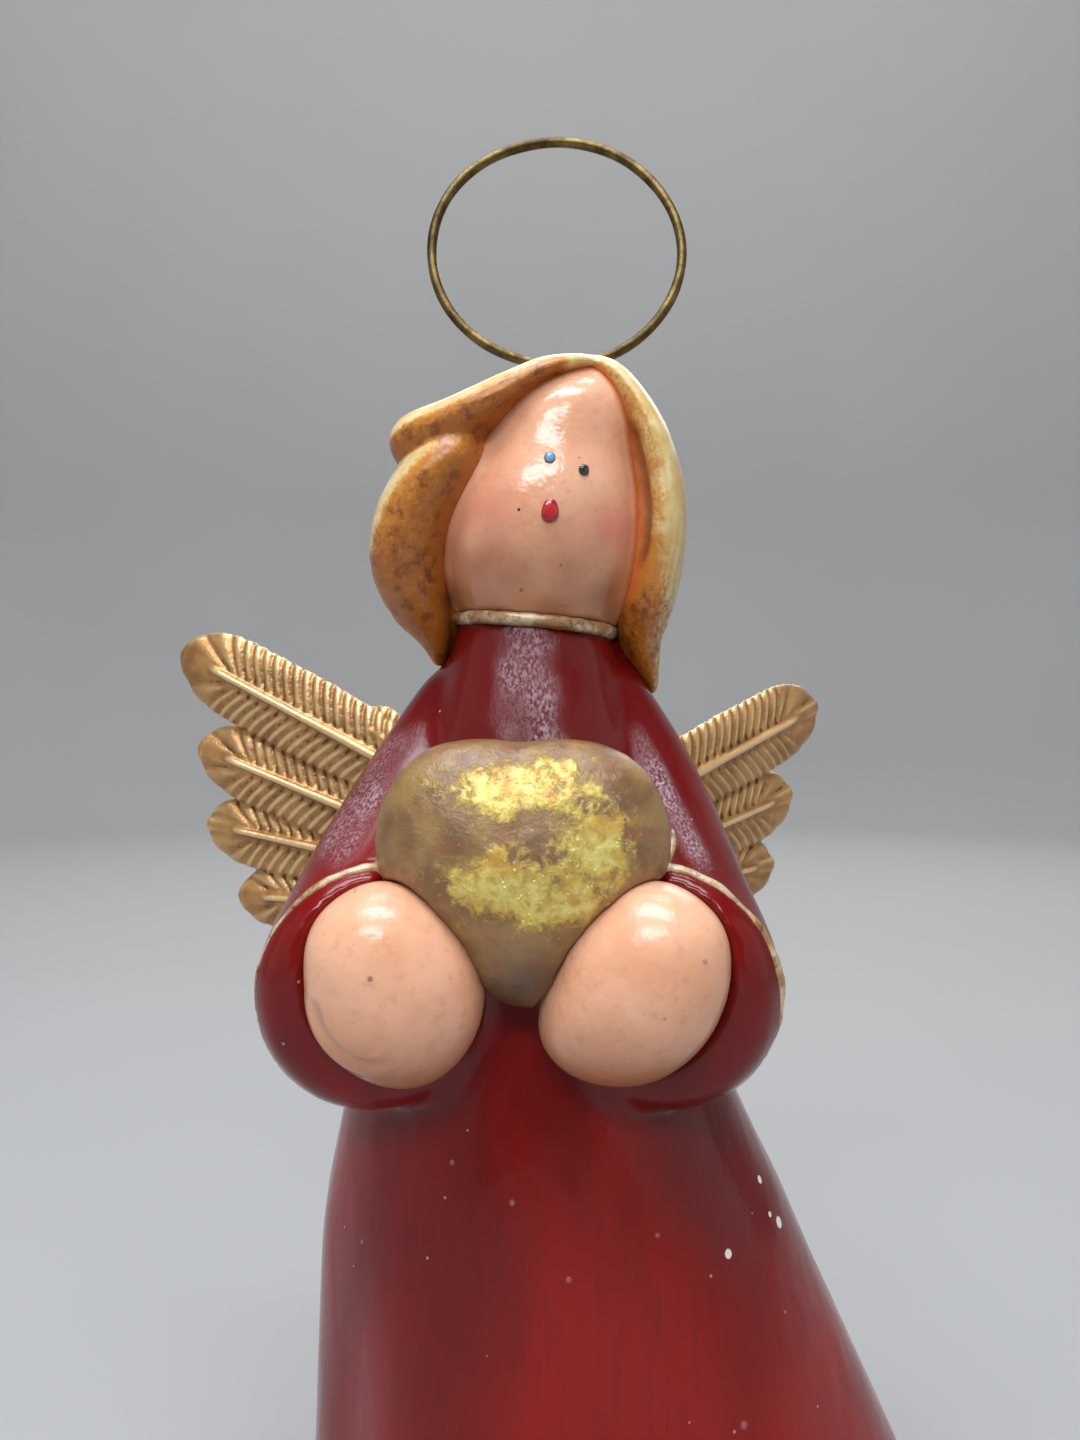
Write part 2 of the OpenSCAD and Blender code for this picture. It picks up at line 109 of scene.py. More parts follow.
def smooth_path(points, steps):
    """A Catmull-Rom curve through a few points."""
    p = np.array(points, float)
    n = len(p) - 1
    u = np.linspace(0, n, steps)
    i = np.minimum(u.astype(int), n - 1)
    t = (u - i)[:, None]
    a, b, c, d = p[np.maximum(i - 1, 0)], p[i], p[i + 1], p[np.minimum(i + 2, n)]
    return 0.5 * (2 * b + (c - a) * t + (2 * a - 5 * b + 4 * c - d) * t ** 2
                  + (3 * b - a - 3 * c + d) * t ** 3)


# ---- forms: closed meshes that are reshaped as arrays ----

def cad_points(node):
    return read(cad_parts[node].data.vertices, "co", 3) / MM


def cad_box(node):
    """A CAD node's lowest and highest corners."""
    return [np.array(corner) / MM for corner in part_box(node)]


def cad_bmesh(*nodes):
    """The CAD nodes' own meshes together, with their corners joined."""
    bm = bmesh.new()
    for node in nodes:
        bm.from_mesh(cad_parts[node].data)
    bmesh.ops.scale(bm, vec=(1 / MM,) * 3, verts=bm.verts)
    bmesh.ops.remove_doubles(bm, verts=bm.verts, dist=1e-4)
    return bm


def as_mesh(bm, name):
    mesh = bpy.data.meshes.new(name)
    bm.to_mesh(mesh)
    bm.free()
    return mesh


def add_object(name, data):
    obj = bpy.data.objects.new(name, data)
    bpy.context.scene.collection.objects.link(obj)
    return obj


def join_rings(bm, low, high):
    """A band of quads between two rings of corners."""
    for j in range(len(low)):
        k = (j + 1) % len(low)
        bm.faces.new((low[j], low[k], high[k], high[j]))


def add_grid(bm, rows):
    """Quads between rings of points, closed at both ends."""
    made = [[bm.verts.new(p) for p in row] for row in rows]
    for low, high in zip(made[:-1], made[1:]):
        join_rings(bm, low, high)
    bm.faces.new(reversed(made[0]))
    bm.faces.new(made[-1])


def add_tube(bm, path, radii, sides=12, closed=False):
    """A round tube along a path, of one radius or one for each point."""
    n = len(path)
    radii = np.broadcast_to(radii, n)
    ahead = np.roll(path, -1, 0) - np.roll(path, 1, 0)
    if not closed:
        ahead[0], ahead[-1] = path[1] - path[0], path[-1] - path[-2]
    across = np.cross(unit(ahead[0]), unit(np.array([0.3, 0.5, 0.81])))
    rows = []
    for point, way, r in zip(path, ahead, radii):
        way = unit(way)
        across = unit(across - (across @ way) * way)
        other = np.cross(way, across)
        turn = round_turns(sides)
        rows.append(point + r * (np.outer(np.cos(turn), across) + np.outer(np.sin(turn), other)))
    if not closed:
        add_grid(bm, rows)
        return
    made = [[bm.verts.new(p) for p in row] for row in rows]
    start = np.linalg.norm(rows[0] - rows[-1][0], axis=1).argmin()
    turned_first = made[0][start:] + made[0][:start]
    for low, high in zip(made, made[1:] + [turned_first]):
        join_rings(bm, low, high)


def add_ball(bm, centre, radii):
    made = bmesh.ops.create_uvsphere(bm, u_segments=20, v_segments=10, radius=1)
    for v in made["verts"]:
        v.co = Vector(centre) + Vector(v.co[k] * radii[k] for k in range(3))


def remeshed(mesh, voxel):
    """An even skin of small squares over all the solids in a mesh, as one."""
    work = add_object("work", mesh)
    modifier = work.modifiers.new("remesh", "REMESH")
    modifier.mode = "VOXEL"
    modifier.voxel_size = voxel
    modifier.adaptivity = 0
    graph = bpy.context.evaluated_depsgraph_get()
    result = bpy.data.meshes.new_from_object(work.evaluated_get(graph))
    bpy.data.objects.remove(work)
    return result


CRUMB = 200


def without_crumbs(mesh):
    """The mesh without its shells of under CRUMB corners, which a remesh leaves where a form is thin."""
    pairs = read(mesh.edges, "vertices", 2, np.int32)
    shell = np.arange(len(mesh.vertices))
    settled = False
    while not settled:
        lowest = shell.copy()
        for a, b in ((0, 1), (1, 0)):
            np.minimum.at(lowest, pairs[:, a], shell[pairs[:, b]])
        lowest = lowest[lowest]
        settled = (lowest == shell).all()
        shell = lowest
    crumbs = np.flatnonzero(np.bincount(shell, minlength=len(shell))[shell] < CRUMB)
    if len(crumbs):
        bm = bmesh.new()
        bm.from_mesh(mesh)
        bm.verts.ensure_lookup_table()
        bmesh.ops.delete(bm, geom=[bm.verts[i] for i in crumbs], context="VERTS")
        bm.to_mesh(mesh)
        bm.free()
    return mesh


class Form:
    """A mesh in millimetres, as corners and edges in arrays, with named masks on its corners."""

    def __init__(self, bm, voxel):
        mesh = without_crumbs(remeshed(as_mesh(bm, "solids"), voxel))
        self.mesh = mesh
        self.co = read(mesh.vertices, "co", 3)
        pairs = read(mesh.edges, "vertices", 2, np.int32)
        self.ends = np.concatenate([pairs[:, 0], pairs[:, 1]])
        self.others = np.concatenate([pairs[:, 1], pairs[:, 0]])
        self.valence = np.bincount(self.ends, minlength=len(self.co))[:, None]
        self.masks = {}

    def average(self, values):
        """The mean of each corner's neighbours."""
        sums = [np.bincount(self.ends, column[self.others], len(self.co)) for column in values.T]
        return np.stack(sums, 1) / self.valence

    def normals(self):
        self.mesh.vertices.foreach_set("co", self.co.ravel())
        self.mesh.update()
        return read(self.mesh.vertices, "normal", 3)

    def relax(self, rounds, weight=1.0):
        """Evens out facets and dents, and gives back what that shrinks."""
        before = self.co.copy()
        share = np.broadcast_to(weight, len(self.co))[:, None] * 0.5
        for _ in range(rounds):
            self.co += share * (self.average(self.co) - self.co)
        lost = ((before - self.co) * self.normals()).sum(1)
        self.push(np.broadcast_to(weight, len(self.co)) * lost.mean())

    def push(self, heights):
        self.co += self.normals() * np.asarray(heights)[:, None]

    def blurred(self, values, rounds):
        """One value a corner, evened out over its neighbours."""
        for _ in range(rounds):
            values = self.average(values[:, None])[:, 0]
        return values

    def hollows(self, rounds):
        """How deep each corner lies in a hollow, or below 0 on a ridge."""
        return self.blurred(((self.average(self.co) - self.co) * self.normals()).sum(1), rounds)

    def near(self, points):
        """Each corner's distance from the nearest of some points."""
        tree = KDTree(len(points))
        for i, p in enumerate(points):
            tree.insert(p, i)
        tree.balance()
        return np.array([tree.find(c)[2] for c in self.co])

    def piece(self, name, slot, material, *nodes):
        """The finished object, which rides on the one body and stands for the CAD nodes."""
        self.mesh.vertices.foreach_set("co", (self.co * MM).ravel())
        self.mesh.polygons.foreach_set("use_smooth", [True] * len(self.mesh.polygons))
        for key, values in self.masks.items():
            attribute = self.mesh.attributes.new(key, "FLOAT", "POINT")
            attribute.data.foreach_set("value", np.clip(values, 0, 1).astype(np.float32))
        self.mesh.update()
        self.mesh.name = name
        self.mesh.materials.clear()
        self.mesh.materials.append(material)
        obj = add_object(name, self.mesh)
        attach(obj, "root")
        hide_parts(*nodes)


class Ring:
    """The circle that a ring-shaped set of points lies on."""

    def __init__(self, points):
        middle = points.mean(0)
        axes = np.linalg.svd(points - middle, full_matrices=False)[2]
        self.axis = axes[2]
        flat = (points - middle) @ axes[:2].T
        fit = np.linalg.lstsq(np.c_[2 * flat, np.ones(len(flat))], (flat ** 2).sum(1), rcond=None)[0]
        self.centre = middle + fit[:2] @ axes[:2]
        self.radius = math.sqrt(fit[2] + fit[:2] @ fit[:2])

    def facing(self, way):
        """Turns the axis towards way, and sets the ring's own right and up."""
        if self.axis @ way < 0:
            self.axis = -self.axis
        self.up = unit(UP - (UP @ self.axis) * self.axis)
        self.right = np.cross(self.up, self.axis)
        return self

    def at(self, turns, radii):
        """Points round the ring at turns, counted from its right towards its up."""
        return self.centre + np.outer(radii * np.cos(turns), self.right) \
            + np.outer(radii * np.sin(turns), self.up)


# ---- paint: materials as node trees ----

def rgb(red, green, blue):
    """A display colour, each part from 0 to 255, as the linear colour that shaders take."""
    parts = [c / 255 for c in (red, green, blue)]
    return [c / 12.92 if c <= 0.04045 else ((c + 0.055) / 1.055) ** 2.4 for c in parts] + [1]


class Paint:
    """A material's node tree, added to a node at a time. Lengths are in millimetres."""

    def __init__(self, name):
        self.material = bpy.data.materials.new(name)
        self.material.use_nodes = True
        self.tree = self.material.node_tree
        self.tree.nodes.clear()
        self.place = self.node("ShaderNodeTexCoord").outputs["Object"]

    def node(self, kind, inputs=None, **settings):
        made = self.tree.nodes.new(kind)
        for key, value in settings.items():
            setattr(made, key, value)
        for key, value in (inputs or {}).items():
            if isinstance(value, bpy.types.NodeSocket):
                self.tree.links.new(value, made.inputs[key])
            else:
                made.inputs[key].default_value = value
        return made

    def maths(self, operation, a, b):
        return self.node("ShaderNodeMath", {0: a, 1: b}, operation=operation).outputs[0]

    def stretched(self, stretch):
        """Places drawn out along an axis, where stretch is over 1."""
        scale = [1 / (s * MM) for s in stretch]
        return self.node("ShaderNodeVectorMath", {0: self.place, 1: scale}, operation="MULTIPLY").outputs[0]

    def noise(self, size, stretch=(1, 1, 1), detail=3.0, rough=0.55, warp=0.0):
        """Cloudy values from 0 to 1, of about this size."""
        return self.node("ShaderNodeTexNoise", {
            "Vector": self.stretched(stretch), "Scale": 1 / size, "Detail": detail,
            "Roughness": rough, "Distortion": warp}).outputs["Fac"]

    def cells(self, size):
        """The distance from the middle of the nearest of some scattered cells, in cells."""
        return self.node("ShaderNodeTexVoronoi", {
            "Vector": self.stretched((1, 1, 1)), "Scale": 1 / size}).outputs["Distance"]

    def mask(self, name):
        return self.node("ShaderNodeAttribute", attribute_name=name).outputs["Fac"]

    def step(self, value, low, high):
        """0 below low and 1 above high, with a soft step between them."""
        return self.node("ShaderNodeMapRange", {
            "Value": value, "From Min": low, "From Max": high}, interpolation_type="SMOOTHSTEP").outputs[0]

    def spot(self, centre, radius, soft):
        """1 inside a ball round a point in metres, and 0 outside it."""
        away = self.node("ShaderNodeVectorMath", {0: self.place, 1: tuple(centre)},
                         operation="DISTANCE").outputs["Value"]
        return self.step(away, radius * (1 + soft) * MM, radius * (1 - soft) * MM)

    def dot(self, x, z, radius):
        """1 inside a small round spot seen from the front, and 0 outside it."""
        flat = self.node("ShaderNodeVectorMath", {0: self.place, 1: (1, 0, 1)}, operation="MULTIPLY")
        away = self.node("ShaderNodeVectorMath", {0: flat.outputs[0], 1: (x * MM, 0, z * MM)},
                         operation="DISTANCE").outputs["Value"]
        return self.step(away, radius * 1.3 * MM, radius * 0.7 * MM)

    def mix(self, below, above, share, strength=None):
        """One colour over another, where share is over 0. A strength makes it thinner."""
        if strength:
            share = self.maths("MULTIPLY", share, strength)
        return self.node("ShaderNodeMix", {0: share, 6: below, 7: above}, data_type="RGBA").outputs[2]

    def total(self, *heights):
        """The sum of each value times its height."""
        result = 0.0
        for value, height in heights:
            result = self.maths("ADD", result, self.maths("MULTIPLY", value, height))
        return result

    def relief(self, height):
        """A bumped normal from heights in millimetres."""
        return self.node("ShaderNodeBump", {"Height": height, "Strength": 1.0, "Distance": MM}).outputs[0]

    def finish(self, colour, normal=None, **sockets):
        inputs = {"Base Color": colour}
        inputs.update({key.replace("_", " "): value for key, value in sockets.items()})
        shader = self.node("ShaderNodeBsdfPrincipled", inputs)
        if normal:
            self.tree.links.new(normal, shader.inputs["Normal"])
            if inputs.get("Coat Weight"):
                self.tree.links.new(normal, shader.inputs["Coat Normal"])
        self.node("ShaderNodeOutputMaterial", {"Surface": shader.outputs[0]})
        return self.material


def coat(weight, roughness, ior=1.5):
    """The clear glaze over a paint."""
    return {"Coat_Weight": weight, "Coat_Roughness": roughness, "Coat_IOR": ior}


# Flaws in the robe's glaze, each put on the nearest place of its skin: x, y, z, radius
CHIPS = [(31.5, -11.0, 73.0, 0.5), (33.4, -11.0, 67.4, 0.7), (32.6, -12.5, 69.2, 0.35),
         (25.2, -19.0, 67.4, 0.55)]
BUBBLES = [(6.5, -27.5, 68.0, 0.32), (26.5, -24.0, 50.0, 0.4), (-0.4, -27.0, 76.5, 0.3),
           (-8.5, -26.0, 80.5, 0.28), (17.5, -25.5, 72.0, 0.26), (-22.0, -19.0, 68.0, 0.3),
           (6.2, -29.6, 44.5, 0.45), (-6.0, -29.0, 38.0, 0.4), (24.0, -27.0, 42.5, 0.3)]


def robe_glaze(chips, bubbles):
    p = Paint("robe_glaze")
    slow = p.noise(24, stretch=(1, 1, 2.5), detail=2)
    stroke = p.noise(1.5, stretch=(1, 1, 9), detail=4)
    red = p.mix(rgb(104, 3, 3), rgb(138, 7, 5), p.step(slow, 0.35, 0.65))
    red = p.mix(red, rgb(76, 3, 6), p.step(stroke, 0.5, 0.72), 0.25)
    # Painted shade: the robe and sleeves are painted darker towards the top.
    red = p.mix(red, rgb(82, 5, 9), p.mask("upper"), 0.65)
    # The brushed chest and shoulders get a dull mauve painted reflection, and over it pale specks as a
    # painted highlight: the window's reflection in the brushed glaze.
    red = p.mix(red, rgb(96, 18, 26), p.mask("brush_and_painted_highlight"), 0.5)
    painted_highlight = p.step(p.noise(0.4, stretch=(1, 1, 2.4), detail=5, rough=0.7), 0.42, 0.62)
    painted_highlight = p.maths("MULTIPLY", painted_highlight, p.step(p.mask("brush_and_painted_highlight"), 0.25, 0.95))
    red = p.mix(red, rgb(222, 196, 208), painted_highlight, 0.7)
    # Painted shade deep in the creases.
    red = p.mix(red, rgb(44, 3, 6), p.mask("crease"), 0.8)
    dust = p.step(p.cells(4.6), 0.05, 0.028)
    red = p.mix(red, rgb(205, 165, 160), dust, 0.6)
    for place, radius in chips:
        red = p.mix(red, rgb(232, 226, 214), p.spot(place, radius, soft=0.12))
    bubble = 0.0
    for place, radius in bubbles:
        bubble = p.maths("MAXIMUM", bubble, p.spot(place, radius, soft=0.5))
    red = p.mix(red, rgb(176, 120, 112), bubble, 0.5)
    sponge = p.noise(0.45, stretch=(1, 1, 2), detail=5, rough=0.7)
    sponge = p.maths("MULTIPLY", sponge, p.mask("brush_and_painted_highlight"))
    height = p.total((sponge, 0.42), (p.noise(2.8, stretch=(1, 1, 2.6)), 0.09),
                     (p.noise(0.9, stretch=(1, 1, 6)), 0.014), (bubble, 0.12), (dust, 0.03))
    return p.finish(red, p.relief(height), Roughness=0.5, Specular_IOR_Level=0.05, **coat(1.0, 0.16, 1.4))


# Dark spots in the skin's paint, seen from the front: x, z, radius, strength
SPECKS = [(0.35, 158.4, 0.2, 1.0), (8.0, 165.2, 0.15, 0.5), (0.6, 148.6, 0.22, 0.6),
          (5.6, 151.6, 0.16, 0.5), (-14.9, 104.7, 0.28, 0.6), (20.6, 106.2, 0.3, 0.4),
          (16.2, 100.4, 0.2, 0.35), (-17.6, 113.0, 0.2, 0.3)]


def skin_glaze(name, gloss_roughness):
    p = Paint(name)
    tone = p.noise(9, detail=3)
    skin = p.mix(rgb(240, 182, 146), rgb(230, 166, 128), p.step(tone, 0.35, 0.7))
    grain = p.noise(0.5, detail=4, rough=0.65)
    blotch = p.step(p.noise(1.4, detail=5), 0.5, 0.75)
    skin = p.mix(skin, rgb(206, 138, 106), blotch, 0.35)
    skin = p.mix(skin, rgb(164, 98, 56), p.mask("shade"), 0.9)
    skin = p.mix(skin, rgb(218, 104, 92), p.mask("blush"), 0.7)
    skin = p.mix(skin, rgb(214, 118, 66), p.mask("rim"))
    for x, z, radius, strength in SPECKS:
        skin = p.mix(skin, rgb(60, 38, 32), p.dot(x, z, radius), strength)
    freckle = p.step(p.cells(2.9), 0.06, 0.03)
    skin = p.mix(skin, rgb(186, 120, 92), freckle, 0.4)
    height = p.total((grain, 0.014), (p.noise(1.6), 0.09), (p.noise(6), 0.16))
    return p.finish(skin, p.relief(height), Roughness=0.5, Specular_IOR_Level=0.2,
                    Subsurface_Weight=0.06, Subsurface_Radius=(0.0012, 0.0006, 0.0004),
                    **coat(1.0, gloss_roughness))


def hair_glaze():
    p = Paint("hair_glaze")
    sponge = p.noise(0.55, detail=5, rough=0.75)
    patch = p.noise(1.8, detail=4, rough=0.6)
    cream = p.mix(rgb(240, 220, 168), rgb(224, 190, 122), p.step(p.noise(3.6), 0.35, 0.65))
    cream = p.mix(cream, rgb(206, 166, 84), p.mask("streak"), 0.75)
    spread = p.total((p.maths("SUBTRACT", sponge, 0.5), 1.3), (p.maths("SUBTRACT", patch, 0.5), 0.9))
    # Where the left locks face the light the cream stays bare: a painted highlight.
    hair = p.mix(cream, rgb(202, 130, 44), p.step(p.maths("ADD", p.mask("wash_and_painted_highlight"), spread), 0.15, 0.75))
    # The deep ochre is partly the paint's own and partly painted shade.
    deep = p.step(p.maths("ADD", p.mask("deep"), spread), 0.3, 0.85)
    hair = p.mix(hair, rgb(158, 88, 18), deep, 0.85)
    deepest_and_painted_shade = p.maths("MULTIPLY", deep, p.step(patch, 0.5, 0.66))
    hair = p.mix(hair, rgb(112, 56, 10), deepest_and_painted_shade, 0.75)
    hair = p.mix(hair, rgb(216, 112, 50), p.mask("rim"), 0.8)
    # A darker line along the groove by the face: painted shade.
    hair = p.mix(hair, rgb(112, 50, 32), p.mask("groove"), 0.75)
    height = p.total((sponge, 0.05), (p.noise(2.2), 0.1), (p.mask("streak"), -0.05))
    return p.finish(hair, p.relief(height), Roughness=0.5, Specular_IOR_Level=0.2, **coat(0.8, 0.16))


def trim_line():
    p = Paint("trim_line")
    grime = p.noise(1.1, detail=5, rough=0.7)
    line = p.mix(rgb(212, 188, 152), rgb(166, 124, 80), p.step(p.noise(3.0), 0.38, 0.6))
    line = p.mix(line, rgb(66, 42, 24), p.step(grime, 0.5, 0.68), 0.8)
    height = p.total((grime, 0.1), (p.noise(0.4), 0.04))
    return p.finish(line, p.relief(height), Roughness=0.38, Metallic=0.2, **coat(0.6, 0.2))


def enamel(name, middle, edge, centre, radius):
    """A dot of enamel, darker towards its edge."""
    p = Paint(name)
    dot = p.mix(edge, middle, p.spot(centre, radius * 0.78, soft=0.3))
    streak = p.noise(0.35, stretch=(1, 1, 3))
    dot = p.mix(dot, edge, p.step(streak, 0.5, 0.7), 0.35)
    return p.finish(dot, p.relief(p.total((streak, 0.04))), Roughness=0.25, **coat(1.0, 0.05))


def gold_leaf():
    p = Paint("gold_leaf")
    ground = p.mix(rgb(158, 120, 64), rgb(122, 86, 44), p.step(p.noise(5), 0.35, 0.65))
    ground = p.mix(ground, rgb(150, 88, 54), p.step(p.noise(2.8), 0.55, 0.7), 0.6)
    ground = p.mix(ground, rgb(84, 58, 30), p.mask("foot"), 0.75)
    torn = p.noise(1.7, detail=7, rough=0.7, warp=0.4)
    wide = p.noise(4.5, detail=3)
    cover = p.total((p.mask("leaf"), 1.0), (p.maths("SUBTRACT", torn, 0.5), 2.0),
                    (p.maths("SUBTRACT", wide, 0.5), 1.2))
    leaf = p.step(cover, 0.36, 0.8)
    thick = p.step(cover, 0.75, 1.2)
    gold = p.mix(rgb(208, 172, 70), rgb(232, 210, 92), p.step(p.noise(1.2, detail=4), 0.4, 0.62))
    gold = p.mix(gold, rgb(248, 236, 140), thick, 0.85)
    gold = p.mix(gold, rgb(214, 150, 40), p.step(p.noise(3.6), 0.54, 0.68), 0.6)
    colour = p.mix(ground, gold, leaf, 0.85)
    colour = p.mix(colour, rgb(150, 66, 34), p.step(p.noise(1.3), 0.6, 0.75), 0.45)
    pit = p.cells(0.85)
    bead = p.maths("MULTIPLY", p.step(pit, 0.3, 0.14), p.step(p.noise(2.4), 0.46, 0.56))
    bead = p.maths("MULTIPLY", bead, p.mask("leaf"))
    colour = p.mix(colour, rgb(250, 244, 190), bead, 0.35)
    height = p.total((torn, 0.22), (p.noise(0.45), 0.04), (leaf, 0.04), (bead, 0.09))
    metal = p.maths("ADD", 0.1, p.maths("MULTIPLY", leaf, 0.25))
    return p.finish(colour, p.relief(height), Roughness=0.4, Metallic=metal, **coat(0.9, 0.17))


def wing_gold():
    p = Paint("wing_gold")
    cloud = p.noise(5, detail=4)
    gold = p.mix(rgb(192, 144, 86), rgb(160, 112, 60), p.step(cloud, 0.35, 0.65))
    gold = p.mix(gold, rgb(240, 208, 156), p.mask("ridge"), 0.8)
    ragged = p.total((p.mask("groove"), 1.0), (p.maths("SUBTRACT", p.noise(0.8), 0.5), 0.7))
    gold = p.mix(gold, rgb(66, 38, 16), p.step(ragged, 0.25, 0.75), 0.92)
    height = p.total((p.noise(0.45, detail=4), 0.05), (p.noise(1.8), 0.06))
    return p.finish(gold, p.relief(height), Roughness=0.36, Metallic=0.55, Specular_IOR_Level=0.5,
                    **coat(0.3, 0.2))


def aged_brass():
    p = Paint("aged_brass")
    tarnish = p.noise(3.5, detail=5, rough=0.65)
    brass = p.mix(rgb(126, 106, 62), rgb(74, 58, 32), p.step(tarnish, 0.35, 0.65))
    pitted = p.step(p.noise(1.1, detail=4), 0.52, 0.72)
    brass = p.mix(brass, rgb(54, 44, 24), pitted, 0.6)
    rough = p.maths("ADD", 0.28, p.maths("MULTIPLY", tarnish, 0.25))
    height = p.total((p.noise(0.3, detail=4), 0.02), (tarnish, 0.03))
    return p.finish(brass, p.relief(height), Roughness=rough, Metallic=0.85)


def green_felt():
    p = Paint("felt")
    fibre = p.noise(0.35, detail=6, rough=0.75, warp=2.0)
    green = p.mix(rgb(42, 82, 58), rgb(66, 106, 80), p.step(fibre, 0.4, 0.65))
    green = p.mix(green, rgb(34, 62, 46), p.step(p.noise(4), 0.5, 0.7), 0.5)
    height = p.total((fibre, 0.35))
    return p.finish(green, p.relief(height), Roughness=0.95, Sheen_Weight=0.6, Sheen_Roughness=0.5)


# ---- robe, sleeves and cuffs, glazed as one skin ----

ROBE_ROWS = 190
ROBE_TURNS = 300
FOLDS = 5
RIPPLES = 9
NECK_R = 10.5
# How far out the rays start that measure the robe
RAY_START = 200
# The blur that takes out its facets, in rows and turns
BLUR_REACH = 9
BLUR_WIDTH = 3.6
# A fold of the robe that lies against the neck under the long side of the hair: x, y, z, radius
NECK_FOLD = np.array([(8.0, 1.5, 140.4, 3.2), (12.9, 2.4, 141.3, 3.5), (15.6, 2.8, 137.6, 3.2),
                      (17.2, 3.0, 134.0, 2.2)])
cuffs = {side: Ring(cad_points(f"{name}_cuff_trim")).facing(np.array([0, -1, 0.0]))
         for side, name in SIDES.items()}
neck = Ring(cad_points("collar_band")).facing(UP)


def robe_reach(heights, turns):
    """How far the CAD's robe reaches from its upright axis, at each height and each way round."""
    bm = cad_bmesh("robe_body")
    tree = BVHTree.FromBMesh(bm)
    bm.free()
    axis_x = neck.centre[0]
    reach = np.empty((len(heights), len(turns)))
    for i, z in enumerate(heights):
        for j, turn in enumerate(turns):
            way = Vector((math.cos(turn), math.sin(turn), 0))
            hit = tree.ray_cast(Vector((axis_x, 0, z)) + RAY_START * way, -way)[0]
            reach[i, j] = (hit.xy - Vector((axis_x, 0))).length
    return reach


def without_facets(reach):
    """The robe's reach, blurred both ways. Past its lowest and highest rows it keeps its slope."""
    n = BLUR_REACH
    blur = np.exp(-0.5 * (np.arange(-n, n + 1) / BLUR_WIDTH) ** 2)
    blur /= blur.sum()
    for _ in range(2):
        ring = np.concatenate([reach[:, -n:], reach, reach[:, :n]], 1)
        reach = np.apply_along_axis(np.convolve, 1, ring, blur, "valid")
        below = 2 * reach[:1] - reach[n:0:-1]
        above = 2 * reach[-1:] - reach[-2:-n - 2:-1]
        column = np.concatenate([below, reach, above], 0)
        reach = np.apply_along_axis(np.convolve, 0, column, blur, "valid")
    return reach


def robe_loft():
    """The robe's outer form without facets, with soft folds, a fuller chest and a fuller train."""
    foot, top = (corner[2] for corner in cad_box("robe_body"))
    axis_x = neck.centre[0]
    heights = np.linspace(foot + 0.02, top - 2.2, ROBE_ROWS)
    turns = round_turns(ROBE_TURNS)
    reach = without_facets(robe_reach(heights, turns))
    share = ramp(100, 10, heights)[:, None]
    z = heights[:, None]
    wander = 0.5 * np.sin(z / 31) + 0.35 * np.sin(2 * turns + 1.3)
    folds = 0.85 * np.cos(FOLDS * turns + 2.2 + wander) + 0.4 * np.cos(RIPPLES * turns + 0.02 * z)
    reach = reach + share * folds
    chest = ramp(144, 130, z) * ramp(100, 118, z) * np.clip(-np.sin(turns), 0, 1) ** 2
    train = ramp(88, 68, z) * (0.3 + 0.7 * ramp(5, 35, z)) * np.clip(np.cos(turns), 0, 1) ** 2
    reach = reach + 1.5 * chest + 2.0 * train
    rows = [np.c_[axis_x + r * np.cos(turns), r * np.sin(turns), np.full(ROBE_TURNS, h)]
            for r, h in zip(reach, heights)]
    # The last row lies on the leaning seat of the collar.
    seat = neck.centre - 0.5 * neck.axis
    last = np.c_[seat[0] + NECK_R * np.cos(turns), seat[1] + NECK_R * np.sin(turns), np.zeros(ROBE_TURNS)]
    last[:, 2] = seat[2] - (last[:, :2] - seat[:2]) @ neck.axis[:2] / neck.axis[2]
    rows.append(0.5 * (rows[-1] + last) + [0, 0, 0.2])
    rows.append(last)
    bm = bmesh.new()
    add_grid(bm, rows)
    return bm


def robe_tree(form):
    return BVHTree.FromPolygons(form.co.tolist(), [list(f.vertices) for f in form.mesh.polygons])


def robe_masks(form):
    """Where the brushed glaze carries a painted highlight, where the robe is painted darker towards the top
    as painted shade, and where creases get painted shade.
    """
    x, y, z = form.co.T
    ragged = 1.6 * bumps(form.co, 3, 6)
    # The chest band and the shoulder lines are where the painted highlight goes; the same mask raises the
    # brushed relief.
    chest = ramp(112, 122, z) * ramp(-4, -12, y) \
        * np.exp(-((x - 2.4 + 0.13 * (z - 130) + ragged) / 3.8) ** 2)
    wide = np.where(x > 0, 2.6, 4.5)
    shoulder = ramp(111, 118, z) * ramp(134, 126, z) * ramp(2, -6, y) \
        * ramp(1, 0.2, abs(abs(x) - 18.2 + 0.45 * (z - 124.5)) / wide)
    form.masks["brush_and_painted_highlight"] = np.maximum(chest, 0.85 * shoulder) * (0.65 + 0.6 * (bumps(form.co, 6, 5) + 0.3))
    # Painted shade, stronger higher up on the robe and sleeves.
    form.masks["upper"] = ramp(106, 128, z)
    # Painted shade in the robe's hollows and creases.
    form.masks["crease"] = ramp(0.0076, 0.063, form.hollows(3))


